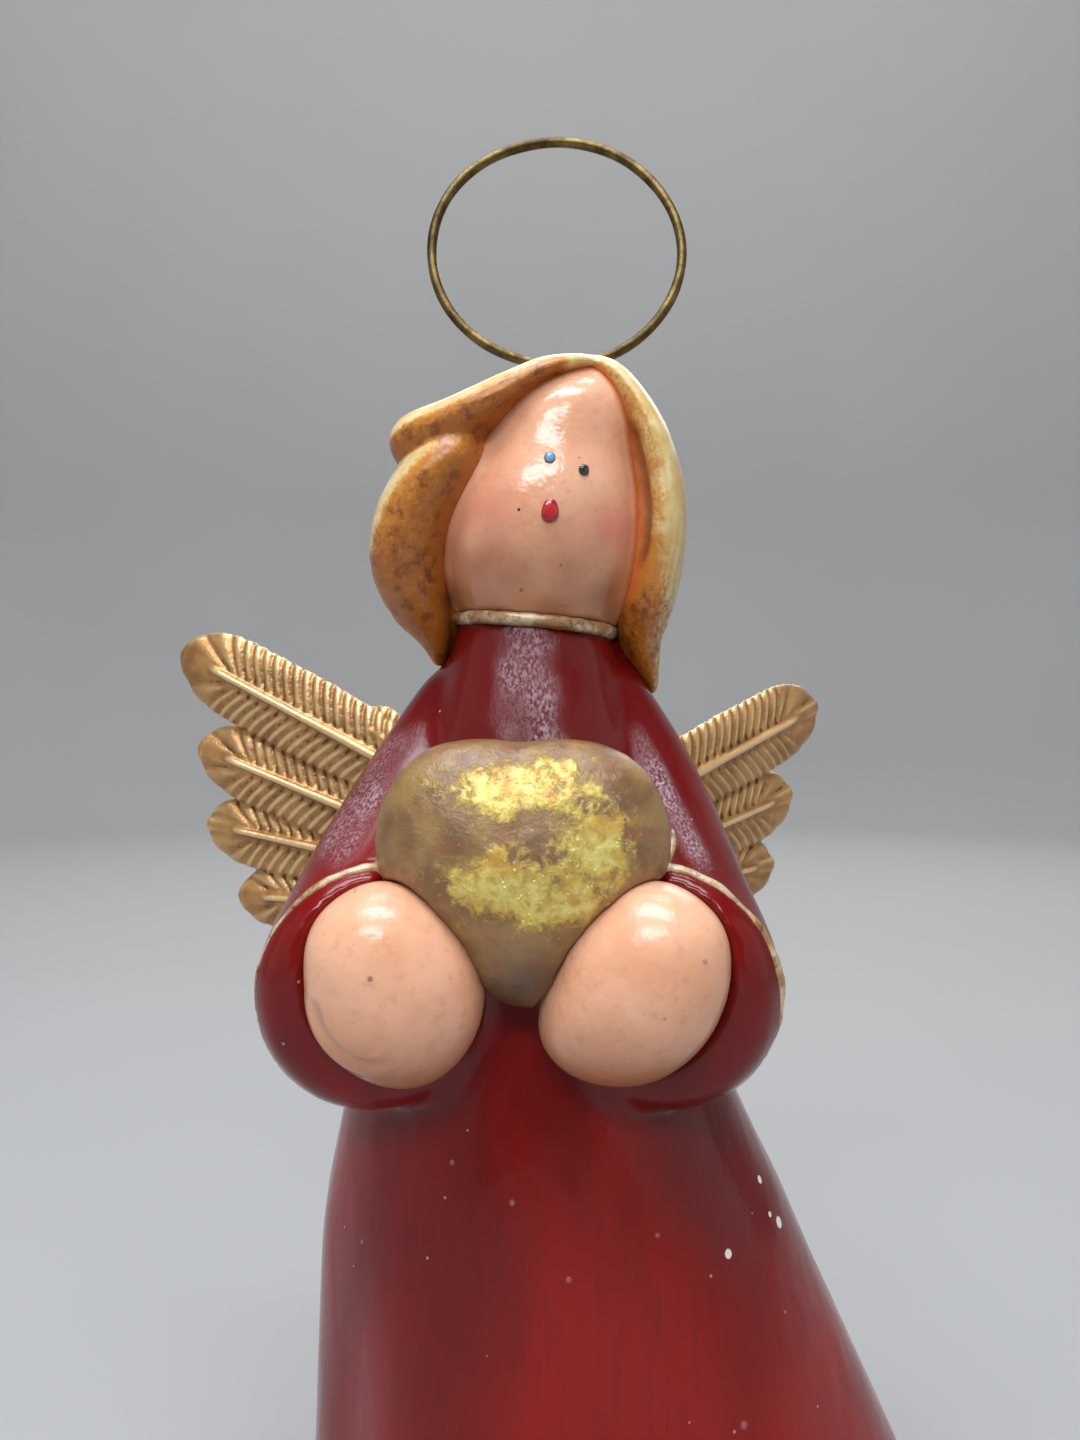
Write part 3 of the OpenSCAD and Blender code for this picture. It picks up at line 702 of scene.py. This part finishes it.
def make_robe():
    bm = robe_loft()
    cuff_nodes = [f"{name}_{part}" for name in SIDES.values() for part in ("sleeve", "cuff_trim", "cuff")]
    bm.from_mesh(as_mesh(cad_bmesh(*cuff_nodes), "sleeves"))
    add_tube(bm, NECK_FOLD[:, :3], NECK_FOLD[:, 3], sides=16)
    form = Form(bm, VOXEL["robe"])
    # The sleeves' facets are the coarsest, and the cuffs keep their edges.
    rim = np.minimum(*[abs((form.co - c.centre) @ c.axis) for c in cuffs.values()])
    away = np.minimum(*[np.linalg.norm(form.co - c.centre, axis=1) for c in cuffs.values()])
    keep = ramp(4.5, 1.2, rim) * ramp(22, 17, away)
    sleeve = ramp(46, 30, away)
    form.relax(17, np.clip(0.25 + sleeve, 0, 1) * (1 - 0.85 * keep))
    form.relax(3)
    low = ramp(0.8, 4, form.co[:, 2])
    form.push(0.16 * bumps(form.co / [1, 1, 1.6], 9, 1) * low)
    form.push(0.05 * bumps(form.co / [1, 1, 2.2], 3, 2) * low)
    robe_masks(form)
    nodes = ["robe_body"] + [n for n in cuff_nodes if not n.endswith("trim")]
    skin = robe_tree(form)
    flaws = [[(skin.find_nearest(Vector(place))[0] * MM, radius) for *place, radius in group]
             for group in (CHIPS, BUBBLES)]
    form.piece("glazed_robe", "robe_glaze", robe_glaze(*flaws), *nodes)
    return form


# ---- trim: raised lines on the cuffs and the collar ----

TRIM_R = 0.62
# Short stretches of the same line beside the heart, seen from the front, as (x, z)
LINE_ENDS = {LEFT: [(19.2, 118.8), (19.0, 117.4), (18.4, 115.9), (17.5, 114.6), (16.6, 113.5)],
             RIGHT: [(-15.9, 116.6), (-16.0, 115.4), (-15.5, 114.3), (-14.6, 113.2)]}
LINE_END_RADII = TRIM_R * np.array([0.2, 0.45, 0.6, 0.75] + [0.9] * 8 + [0.7, 0.3])


def make_trims(robe, material):
    tree = robe_tree(robe)
    for side, name in SIDES.items():
        ring = cuffs[side]
        turns = round_turns(180)
        outer = np.cos(turns) * side
        fade = ramp(-0.75, 0.2, np.sin(turns)) * 0.75 + 0.25
        if side == RIGHT:
            fade *= 0.35 + 0.65 * ramp(0.95, 0.6, outer)
        radii = TRIM_R * fade * (1 + 0.16 * np.sin(5 * turns + side) + 0.1 * np.sin(13 * turns))
        path = ring.at(turns, np.full(len(turns), ring.radius + 0.2))
        for i, p in enumerate(path):
            spot, normal, _, away = tree.find_nearest(Vector(p))
            if away < 1.5:
                path[i] = np.array(spot) - 0.25 * radii[i] * np.array(normal)
        path = (np.roll(path, 1, 0) + 2 * path + np.roll(path, -1, 0)) / 4
        bm = bmesh.new()
        add_tube(bm, path, radii, closed=True)
        points = []
        for x, z in smooth_path(LINE_ENDS[side], len(LINE_END_RADII)):
            hit = tree.ray_cast(Vector((x, -80, z)), Vector((0, 1, 0)))
            points.append(np.array(hit[0]) + [0, 0.15, 0])
        add_tube(bm, np.array(points), LINE_END_RADII)
        form = Form(bm, VOXEL["trim"])
        form.relax(2)
        form.push(0.06 * bumps(form.co, 1.2, 3))
        form.piece(f"{name}_cuff_line", "trim_line", material, f"{name}_cuff_trim")


def make_collar(material):
    bm = cad_bmesh("collar_band")
    turns = round_turns(120)
    path = neck.at(turns, np.full(len(turns), 10.9)) + np.outer(0.35 * np.sin(3 * turns + 0.4), neck.axis)
    add_tube(bm, path, 0.57 + 0.12 * np.sin(7 * turns), closed=True)
    drop = neck.at(np.array([-0.42]), np.array([11.3]))[0] - 1.3 * neck.axis
    add_ball(bm, drop, (0.9, 0.8, 1.1))
    form = Form(bm, VOXEL["collar"])
    form.relax(3)
    form.push(0.12 * bumps(form.co, 1.8, 4))
    form.piece("collar_line", "trim_line", material, "collar_band")


# ---- head and hands ----

def make_head(hair_points, material):
    form = Form(cad_bmesh("head"), VOXEL["skin"])
    above = (form.co - neck.centre) @ neck.axis
    form.relax(28, ramp(0.6, 3.4, above))
    form.relax(3)
    form.push(0.12 * bumps(form.co, 7, 6))
    high = cad_box("head")[1][2]
    lift = ramp(high - 13, high - 3, form.co[:, 2]) * ramp(2, -3, form.co[:, 1])
    form.co += lift[:, None] * [0.2, -2.0, 1.2]
    away = form.near(hair_points)
    form.push(0.5 * ramp(1.6, 0.1, away))
    form.relax(3)
    x, y, z = form.co.T
    front = ramp(0, -5, y)
    up = (z - neck.centre[2]) / (high - neck.centre[2])
    form.masks["shade"] = 0.9 * ramp(0.55, 0.15, up) * (0.75 + 0.5 * bumps(form.co, 5, 7)) * front
    cheeks = [(-3.6, 159.6, 4.2, 0.5), (12.2, 156.9, 2.8, 0.85)]
    form.masks["blush"] = front * sum(
        strength * np.exp(-((x - cx) ** 2 + (z - cz) ** 2) / wide ** 2) for cx, cz, wide, strength in cheeks)
    form.masks["rim"] = ramp(1.2, 0.2, away) * ramp(146, 150, z) * ramp(-2, 6, x)
    form.piece("painted_head", "skin_glaze", material, "head")


# The crease in the outer lower edge of the right hand, seen from the front, as (x, z)
HAND_CREASE = [(-21.4, 101.2), (-20.6, 98.6), (-18.8, 96.4), (-16.4, 95.2), (-13.6, 94.8)]


def make_hands(material):
    for side, name in SIDES.items():
        form = Form(cad_bmesh(f"{name}_hand"), VOXEL["skin"])
        form.relax(26)
        ring = cuffs[side]
        flat = form.co - ring.centre
        out = flat @ ring.axis
        right, up = flat @ ring.right, flat @ ring.up
        form.push(0.1 * bumps(form.co, 6, 8 + side) * ramp(0, 2, out))
        # The lower half of each hand swells towards the figure's right.
        low_half = ramp(6, -7, up) * ramp(0, 3, out)
        swell = low_half * (1.1 if side == RIGHT else 1.9 * ramp(1, -8, right))
        form.co -= swell[:, None] * ring.right
        shade = 0.9 * ramp(2, -9, up) * ramp(1, 5, out)
        if side == RIGHT:
            crease = smooth_path(HAND_CREASE, 20)
            away = abs(beside_path(form.co, crease)[0])
            hub = ring.centre[[0, 2]]
            inner_r = np.linalg.norm(crease - hub, axis=1).min() + 0.4
            outside = np.linalg.norm(form.co[:, [0, 2]] - hub, axis=1) > inner_r
            fade = ramp(-12.4, -16.0, form.co[:, 0]) * ramp(103, 99.5, form.co[:, 2])
            line = fade * np.exp(-(away / 0.6) ** 2) * ramp(1, 3, out)
            form.push(0.3 * fade * outside * np.exp(-((away - 1.3) / 0.8) ** 2) - 0.3 * line)
            shade = np.maximum(shade, 0.45 * line)
        form.masks = {"shade": shade, "blush": np.zeros_like(shade), "rim": np.zeros_like(shade)}
        form.piece(f"{name}_palm", "skin_glaze", material, f"{name}_hand")


def make_face_dots():
    colours = {
        "left_eye": ("eye_enamel_dark", rgb(38, 44, 50), rgb(8, 10, 12)),
        "right_eye": ("eye_enamel_light", rgb(120, 178, 226), rgb(40, 62, 84)),
        "mouth": ("mouth_enamel", rgb(206, 34, 48), rgb(150, 10, 20)),
    }
    for node, (slot, middle, edge) in colours.items():
        bm = cad_bmesh(node)
        low, high = cad_box(node)
        centre = (low + high) / 2
        if node == "mouth":
            for v in bm.verts:
                v.co.x = centre[0] + (v.co.x - centre[0]) * (1.08 + 0.1 * (centre[2] - v.co.z))
        form = Form(bm, VOXEL["dot"])
        form.relax(16)
        radius = (high[0] - low[0]) / 2
        dot = enamel(slot, middle, edge, np.array([centre[0], low[1] + 0.2, centre[2]]) * MM, radius)
        form.piece(f"{node}_dot", slot, dot, node)


# ---- hair ----

# Each piece of the hair, and the axis that its strands mostly follow
HAIR = {"hair_crown": 2, "hair_upper_lock": 0, "hair_lower_lock": 2, "hair_side_fall": 2}
# Clay behind the lower lock that closes the gap beside the neck: x, y, z, radius
NECK_CLAY = np.array([(-8.6, 2.4, 151.0, 3.4), (-9.6, 1.6, 146.5, 3.0), (-10.4, 1.2, 142.5, 2.2),
                      (-11.2, 1.0, 139.5, 1.2)])
# The groove between the face and the fall of hair, seen from the front, as (x, z)
GROOVE = [(13.4, 173.5), (15.4, 169.0), (16.6, 164.0), (17.1, 159.0), (16.9, 155.0), (16.0, 151.5)]
SLICES = 14


def middle_line(node, axis):
    """The line down the middle of a lock, through the middles of its slices along an axis, as (x, z)."""
    points = cad_points(node)
    along = points[:, axis]
    cuts = np.linspace(along.min(), along.max(), SLICES + 1)
    line = []
    for low, high in zip(cuts[:-1], cuts[1:]):
        part = points[(along >= low - 0.6) & (along <= high + 0.6)]
        line.append((part.min(0) + part.max(0))[[0, 2]] / 2)
    return line


def hair_streaks(form, nearest):
    """Fine wavering lines along the locks. nearest is the lock that each corner belongs to."""
    streak = np.zeros(len(form.co))
    for k, (node, axis) in enumerate(HAIR.items()):
        mine = nearest == k
        side, along = beside_path(form.co[mine], middle_line(node, axis))
        level = np.zeros(len(side))
        drift = 0.5 * bumps(np.c_[side / 2, along / 14, level], 1, 11 + k)
        wide, narrow = (np.cos(2 * math.pi * t) for t in (side / 1.35 + drift, side / 0.8 - drift))
        fade = bumps(np.c_[side / 2, along / 9, level], 1, 21 + k)
        streak[mine] = (0.5 * wide + 0.3 * narrow) * (0.45 + 0.55 * fade)
    return (streak + form.blurred(streak, 1)) / 2


def hair_masks(form, normal, beside, streak):
    """Where the ochre lies, left off the left locks where they face the light as a painted highlight; where
    it is deep, with painted shade on undersides and on lower ends that turn from the light; where streaks
    show; and the warm rim by the face.
    """
    x, y, z = form.co.T
    front = ramp(0.1, -0.4, normal[:, 1])
    back = ramp(0.1, 0.6, normal[:, 1])
    right_side = ramp(5, 8, x)
    lit = normal @ unit(np.array([-0.62, 0.1, 0.78]))
    # The left locks keep their cream where they face the light: a painted highlight.
    left_wash_and_painted_highlight = ramp(0.78, 0.3, lit) * ramp(9, -1, y)
    fall_low = ramp(158, 146, z)
    wash_right = 0.1 + 0.7 * fall_low * front * ramp(0.75, 0.3, normal[:, 0]) \
        + 0.35 * ramp(0.3, -0.4, normal[:, 0])
    wash_back = 0.42 + 0.3 * bumps(form.co, 8, 10)
    wash_and_painted_highlight = left_wash_and_painted_highlight * (1 - right_side) + wash_right * right_side
    form.masks["wash_and_painted_highlight"] = wash_and_painted_highlight * (1 - back) + wash_back * back
    # Painted shade on the lower locks where they turn from the light, and on their undersides.
    tips_in_painted_shade = fall_low * ramp(0.6, 0.0, lit)
    inner = ramp(-11, -6.5, x) * ramp(-3, -6, x) * ramp(172, 166, z)
    under = ramp(0.3, -0.5, normal[:, 2])
    deep = (1 - right_side) * np.maximum(0.95 * tips_in_painted_shade, 0.5 + 0.2 * inner + 0.35 * under) * left_wash_and_painted_highlight
    deep = np.maximum(deep, right_side * (0.75 * ramp(154, 145, z) * front))
    form.masks["deep"] = deep * (1 - back) + 0.15 * back
    form.masks["streak"] = np.clip(0.5 + streak, 0, 1) * (0.3 + 0.7 * right_side)
    form.masks["rim"] = ramp(3.4, 1.0, beside) * front * ramp(146, 150, z) \
        * (0.35 + 0.65 * right_side)


def make_hair():
    bm = cad_bmesh(*HAIR)
    add_tube(bm, NECK_CLAY[:, :3], NECK_CLAY[:, 3])
    form = Form(bm, VOXEL["hair"])
    form.relax(12)
    nearest = np.argmin([form.near(cad_points(node)) for node in HAIR], 0)
    # The hair thins to an edge where it meets the face.
    beside = form.near(Form(cad_bmesh("head"), VOXEL["head_skin"]).co)
    _, y, z = form.co.T
    brow = ramp(5, 1.5, beside) * ramp(166, 173, z) * ramp(0, -4, y)
    form.co += brow[:, None] * [-0.4, 0.6, 1.3]
    form.push(0.5 * ramp(1.6, 0.1, beside))
    form.relax(3)
    streak = hair_streaks(form, nearest)
    normal = form.normals()
    form.push(0.11 * bumps(form.co, 5, 9) + 0.07 * streak)
    groove = beside_path(form.co, GROOVE)[0]
    ends = ramp(151, 154, z) * ramp(173, 169, z)
    seen = ramp(0.1, -0.4, normal[:, 1]) * ends
    # The groove is painted darker as well as cut in: painted shade.
    form.masks["groove"] = np.exp(-(groove / 0.55) ** 2) * seen
    form.push(-0.35 * np.exp(-(groove / 0.45) ** 2) * seen)
    hair_masks(form, normal, beside, streak)
    form.piece("swept_hair", "hair_glaze", hair_glaze(), *HAIR)
    return form


# ---- heart ----

def make_heart():
    form = Form(cad_bmesh("heart"), VOXEL["heart"])
    form.relax(20)
    low, high = cad_box("heart")
    middle = (low + high) / 2
    x, y, z = form.co.T
    front = ramp(middle[1] + 3, middle[1] - 2, y)
    form.push(front * (0.26 * bumps(form.co, 5, 12) + 0.09 * bumps(form.co, 1.7, 13)))
    across = (x - middle[0]) / (high[0] - low[0]) * 2
    up = (z - middle[2]) / (high[2] - low[2]) * 2
    form.co[:, 0] += 0.8 * ramp(0.3, 0.95, across) * ramp(-0.35, 0.1, up)
    patches = [(0.0, 0.66, 0.52, 0.24), (-0.24, 0.02, 0.36, 0.2), (0.2, -0.16, 0.34, 0.2),
               (0.5, 0.2, 0.26, 0.28)]
    cover = sum(np.exp(-((across - px) / wide) ** 2 - ((up - pz) / tall) ** 2)
                for px, pz, wide, tall in patches)
    form.masks["leaf"] = front * np.clip(cover, 0, 1)
    form.masks["foot"] = ramp(-0.3, -0.9, up)
    # A nick and a few creases in the clay at the point
    tip = np.array([-0.6, low[2] + 1.2])
    away = np.hypot(x - tip[0], (z - tip[1]) * 0.7)
    form.push(-0.7 * np.exp(-(away / 0.7) ** 2) * front)
    pleat = np.cos(2 * math.pi * (x - tip[0]) / 2.6) * ramp(-0.55, -0.95, up)
    form.push(0.22 * pleat * front)
    form.piece("gilded_heart", "gold_leaf", gold_leaf(), "heart")


# ---- wings ----

# The wings' place, turns and sizes, which are the CAD's
WING_C = np.array([2.0, 17.0, 115.8])
WING_APART = 8.0
WING_SWEEP = 29.0
WING_SKEW = 9.0
WING_ROLL = 2.6
WING_RISE = 1.7
FEATHER_L = 62.0
FEATHER_T = 1.8
FEATHER_STEP = 1.1
# Root height, angle above level, share of the longest, and width of each feather from the front
FEATHERS = [(0.0, 22.4, 1.0, 14.4), (-8.1, 16.2, 0.89, 13.2), (-11.4, 6.2, 0.82, 12.6),
            (-15.0, -3.6, 0.7, 11.4)]
# The short covert above the first feather, in the same terms
COVERT = (0.4, 30.0, 0.44, 9.0)
BARB_ANGLE = math.radians(50)
BARB_PITCH = 2.1
FAN_R = 5.2
CAP = 0.8


def turned(points, axis, degrees):
    """Points turned about a coordinate axis, as OpenSCAD's rotate does."""
    c, s = math.cos(math.radians(degrees)), math.sin(math.radians(degrees))
    a, b = [(1, 2), (2, 0), (0, 1)][axis]
    result = points.copy()
    result[:, a] = c * points[:, a] - s * points[:, b]
    result[:, b] = s * points[:, a] + c * points[:, b]
    return result


def wing_place(points, side):
    """A wing's own points, +X out, +Y up and +Z to the front, put on the figure."""
    points = turned(points, 2, -side * WING_ROLL)
    points = turned(points, 0, 90)
    if side == RIGHT:
        points = points * [-1, 1, 1]
    points = turned(points, 2, side * (WING_SWEEP + side * WING_SKEW))
    return points + WING_C + [side * WING_APART, 0, -side * WING_RISE]


def barb_place(along, across, length):
    """How far along the shaft the barb through each point starts. Barbs fan out at the tip."""
    away = np.abs(across)
    curl = BARB_ANGLE + 0.12 * away / 7
    fan = length * CAP - 1.5
    straight = along - away / np.tan(curl)
    turn = np.arctan2(away, along - fan)
    return np.where((along > fan) & (turn < curl), fan + (curl - turn) * FAN_R, np.minimum(straight, fan + 9))


def half_width(share, width):
    grow = 0.45 + 0.55 * np.sin(math.pi / 2 * np.minimum(share / 0.62, 1))
    cap = np.sqrt(np.clip(1 - ((share - CAP) / (1 - CAP)) ** 2, 0, 1))
    return width / 2 * grow * np.where(share < CAP, 1, cap)


def add_feather(bm, side, spec, layer, lag, soft):
    """One vane with a raised shaft and rounded barbs, on both faces. soft is how worn its barbs are."""
    rise, angle, share_l, width = spec
    length = share_l * FEATHER_L - lag
    body = np.linspace(0, CAP, int(length * CAP / 0.3))
    cap = CAP + (1 - CAP) * np.sin(np.linspace(0, math.radians(86), 34)[1:])
    shares = np.concatenate([body, cap])
    columns = 46
    v = np.linspace(-1, 1, columns)
    v = np.sign(v) * np.abs(v) ** 1.2
    share, cross = np.meshgrid(shares, v, indexing="ij")
    along = share * length
    across = cross * half_width(share, width)
    start = barb_place(along, across, length)
    wave = np.abs(np.cos(math.pi * start / BARB_PITCH))
    wobble = bumps(np.c_[along.ravel(), across.ravel(), np.full(along.size, layer * 9.0)], 5, 31 + side)
    wobble = wobble.reshape(along.shape)
    shaft_r = 1.05 - 0.5 * share
    on_shaft = np.sqrt(np.clip(1 - (across / shaft_r) ** 2, 0, 1)) * ramp(0.9, 0.84, share)
    barb = (wave ** 0.62 - 1) * ramp(0.8, 1.6, np.abs(across)) * (1 - 0.55 * soft * (cross < 0))
    crown = 0.5 * (1 - cross ** 2) - 0.9 * np.abs(cross) ** 7
    tip = ramp(0.97, 1.0, share) * -0.5
    top = FEATHER_T + crown - 0.35 + 0.78 * barb + 0.95 * on_shaft + tip + 0.16 * wobble
    floor = 0.25 - 0.2 * (1 - cross ** 2) + 0.5 * np.abs(cross) ** 7 - 0.3 * barb
    floor = np.minimum(floor, top - 0.3)
    a = math.radians(angle)
    depth = -layer * FEATHER_STEP - FEATHER_T

    def placed(height):
        flat = np.stack([along * math.cos(a) - across * math.sin(a),
                         rise + along * math.sin(a) + across * math.cos(a), depth + height], -1)
        return wing_place(flat.reshape(-1, 3), side).reshape(flat.shape)

    front, back = placed(top), placed(floor)
    add_grid(bm, np.concatenate([front, back[:, ::-1]], 1))


def make_wings(material):
    for side, name in SIDES.items():
        bm = bmesh.new()
        for i, spec in enumerate(FEATHERS):
            add_feather(bm, side, spec, i, side * (0.6 + 0.9 * i), 0.5 * (side == LEFT))
        add_feather(bm, side, COVERT, 1, 0, 0)
        bmesh.ops.recalc_face_normals(bm, faces=bm.faces)
        form = Form(bm, VOXEL["feather"])
        form.relax(1)
        hollow = form.hollows(2)
        form.masks["groove"] = ramp(0.0012, 0.019, form.blurred(hollow, 4))
        form.masks["ridge"] = ramp(-0.0023, -0.019, hollow)
        form.piece(f"{name}_feathers", "wing_gold", material, f"{name}_wing")
    form = Form(cad_bmesh("wing_bridge"), VOXEL["bar"])
    form.relax(4)
    form.push(0.08 * bumps(form.co, 2, 33))
    form.masks["groove"] = ramp(-0.1, 0.5, bumps(form.co, 3, 34)) * 0.5
    form.masks["ridge"] = np.zeros(len(form.co))
    form.piece("wing_bar", "wing_gold", material, "wing_bridge")


# ---- halo and felt ----

def make_halo():
    points = cad_points("halo_wire")
    low, high = cad_box("halo_wire")
    ring = Ring(points[points[:, 2] > high[2] - 0.75 * (high[0] - low[0])]).facing(np.array([0, -1, 0.0]))
    wire_r = max((high[0] - low[0]) / 2 - ring.radius, 0.75)
    turns = round_turns(240)
    reach = ring.radius + 0.14 * np.cos(2 * turns + 0.6) + 0.06 * np.cos(5 * turns)
    path = ring.at(turns, reach) + np.outer(0.18 * np.sin(2 * turns + 1.0), ring.axis)
    bm = bmesh.new()
    add_tube(bm, path, wire_r * (1 + 0.025 * np.sin(11 * turns)), sides=20, closed=True)
    foot = ring.centre - ring.up * (ring.radius - 0.2)
    stem = foot - np.outer(np.linspace(0, foot[2] - low[2] - 0.3, 30), ring.up)
    add_tube(bm, stem, wire_r, sides=20)
    form = Form(bm, VOXEL["halo"])
    form.relax(3)
    form.piece("brass_halo", "aged_brass", aged_brass(), "halo_wire")


def make_felt():
    form = Form(cad_bmesh("base_felt"), VOXEL["felt"])
    form.relax(1)
    edge = ramp(0.9, 0.3, np.abs(form.normals()[:, 2]))
    inside = form.co[:, 2] > 0.05
    form.push(0.12 * bumps(form.co, 0.9, 41) * edge * inside)
    form.co[:, 2] = np.clip(form.co[:, 2], 0, 1.05)
    form.piece("felt_foot", "felt", green_felt(), "base_felt")


# ---- stage, light and camera ----

FLOOR_R = 1.2
BEND_R = 0.5
WALL_TOP = 1.9


def make_stage():
    """A pale floor that curves up into a round wall, open above."""
    profile = [(0.4, 0.0), (0.8, 0.0), (FLOOR_R, 0.0)]
    for k in range(1, 13):
        a = math.pi / 2 * k / 12
        profile.append((FLOOR_R + BEND_R * math.sin(a), BEND_R * (1 - math.cos(a))))
    profile.append((FLOOR_R + BEND_R, WALL_TOP))
    turns = round_turns(96)
    bm = bmesh.new()
    hub = bm.verts.new((0, 0, 0))
    rings = [[bm.verts.new((r * math.cos(turn), r * math.sin(turn), z)) for turn in turns]
             for r, z in profile]
    for a, b in zip(rings[0], rings[0][1:] + rings[0][:1]):
        bm.faces.new((hub, a, b))
    for low, high in zip(rings[:-1], rings[1:]):
        join_rings(bm, high, low)
    mesh = as_mesh(bm, "studio")
    mesh.polygons.foreach_set("use_smooth", [True] * len(mesh.polygons))
    p = Paint("studio_paper")
    paper = p.mix(rgb(160, 161, 162), rgb(168, 168, 168), p.noise(300))
    mesh.materials.append(p.finish(paper, Roughness=0.9))
    add_object("studio", mesh)


def make_light(name, place, target, size, power, colour):
    """A soft rectangle of light, size wide and high in metres, that points at target."""
    light = bpy.data.lights.new(name, "AREA")
    light.shape = "RECTANGLE"
    light.size, light.size_y = size
    light.energy = power
    light.color = colour
    obj = add_object(name, light)
    obj.location = place
    obj.rotation_euler = (Vector(target) - Vector(place)).to_track_quat("-Z", "Y").to_euler()
    obj.visible_camera = False


def make_lights():
    chest = (0, 0, 0.12)
    make_light("window_above", (-0.06, -0.25, 1.08), chest, (0.85, 0.36), 10.5, (0.9, 0.94, 1.0))
    make_light("window_front", (-0.13, -0.72, 0.72), chest, (0.6, 0.17), 4.4, (0.92, 0.95, 1.0))
    make_light("room_left", (-0.95, -0.5, 0.35), chest, (1.4, 1.2), 1.8, (1.0, 0.97, 0.93))
    make_light("room_right", (0.95, -0.45, 0.3), chest, (1.4, 1.2), 2.2, (1.0, 0.96, 0.92))
    make_light("room_back", (0.2, 0.95, 0.8), chest, (0.9, 0.5), 3.5, (1.0, 0.98, 0.96))
    make_light("wall_wash", (0, 0.5, 1.7), (0, 1.7, 0.75), (1.2, 0.4), 16, (1.0, 0.99, 0.97))
    world = bpy.data.worlds.new("room")
    world.use_nodes = True
    background = world.node_tree.nodes["Background"]
    background.inputs["Color"].default_value = (0.88, 0.93, 1.0, 1)
    background.inputs["Strength"].default_value = 0.17
    bpy.context.scene.world = world


CAMERA_PLACE = (0.003, -0.150, 0.132)
CAMERA_LENS = 27.03


def make_camera():
    data = bpy.data.cameras.new("camera")
    data.sensor_width = 36
    data.lens = CAMERA_LENS
    data.clip_start = 0.005
    data.clip_end = 20
    camera = add_object("camera", data)
    camera.location = CAMERA_PLACE
    camera.rotation_euler = (math.pi / 2, 0, 0)
    bpy.context.scene.camera = camera


make_camera()
make_stage()
make_lights()
bpy.context.scene.view_settings.view_transform = "Standard"
robe = make_robe()
line_paint = trim_line()
make_trims(robe, line_paint)
make_collar(line_paint)
hair = make_hair()
make_head(hair.co, skin_glaze("skin_glaze", 0.12))
make_hands(skin_glaze("worn_skin_glaze", 0.22))
make_face_dots()
make_heart()
make_wings(wing_gold())
make_halo()
make_felt()
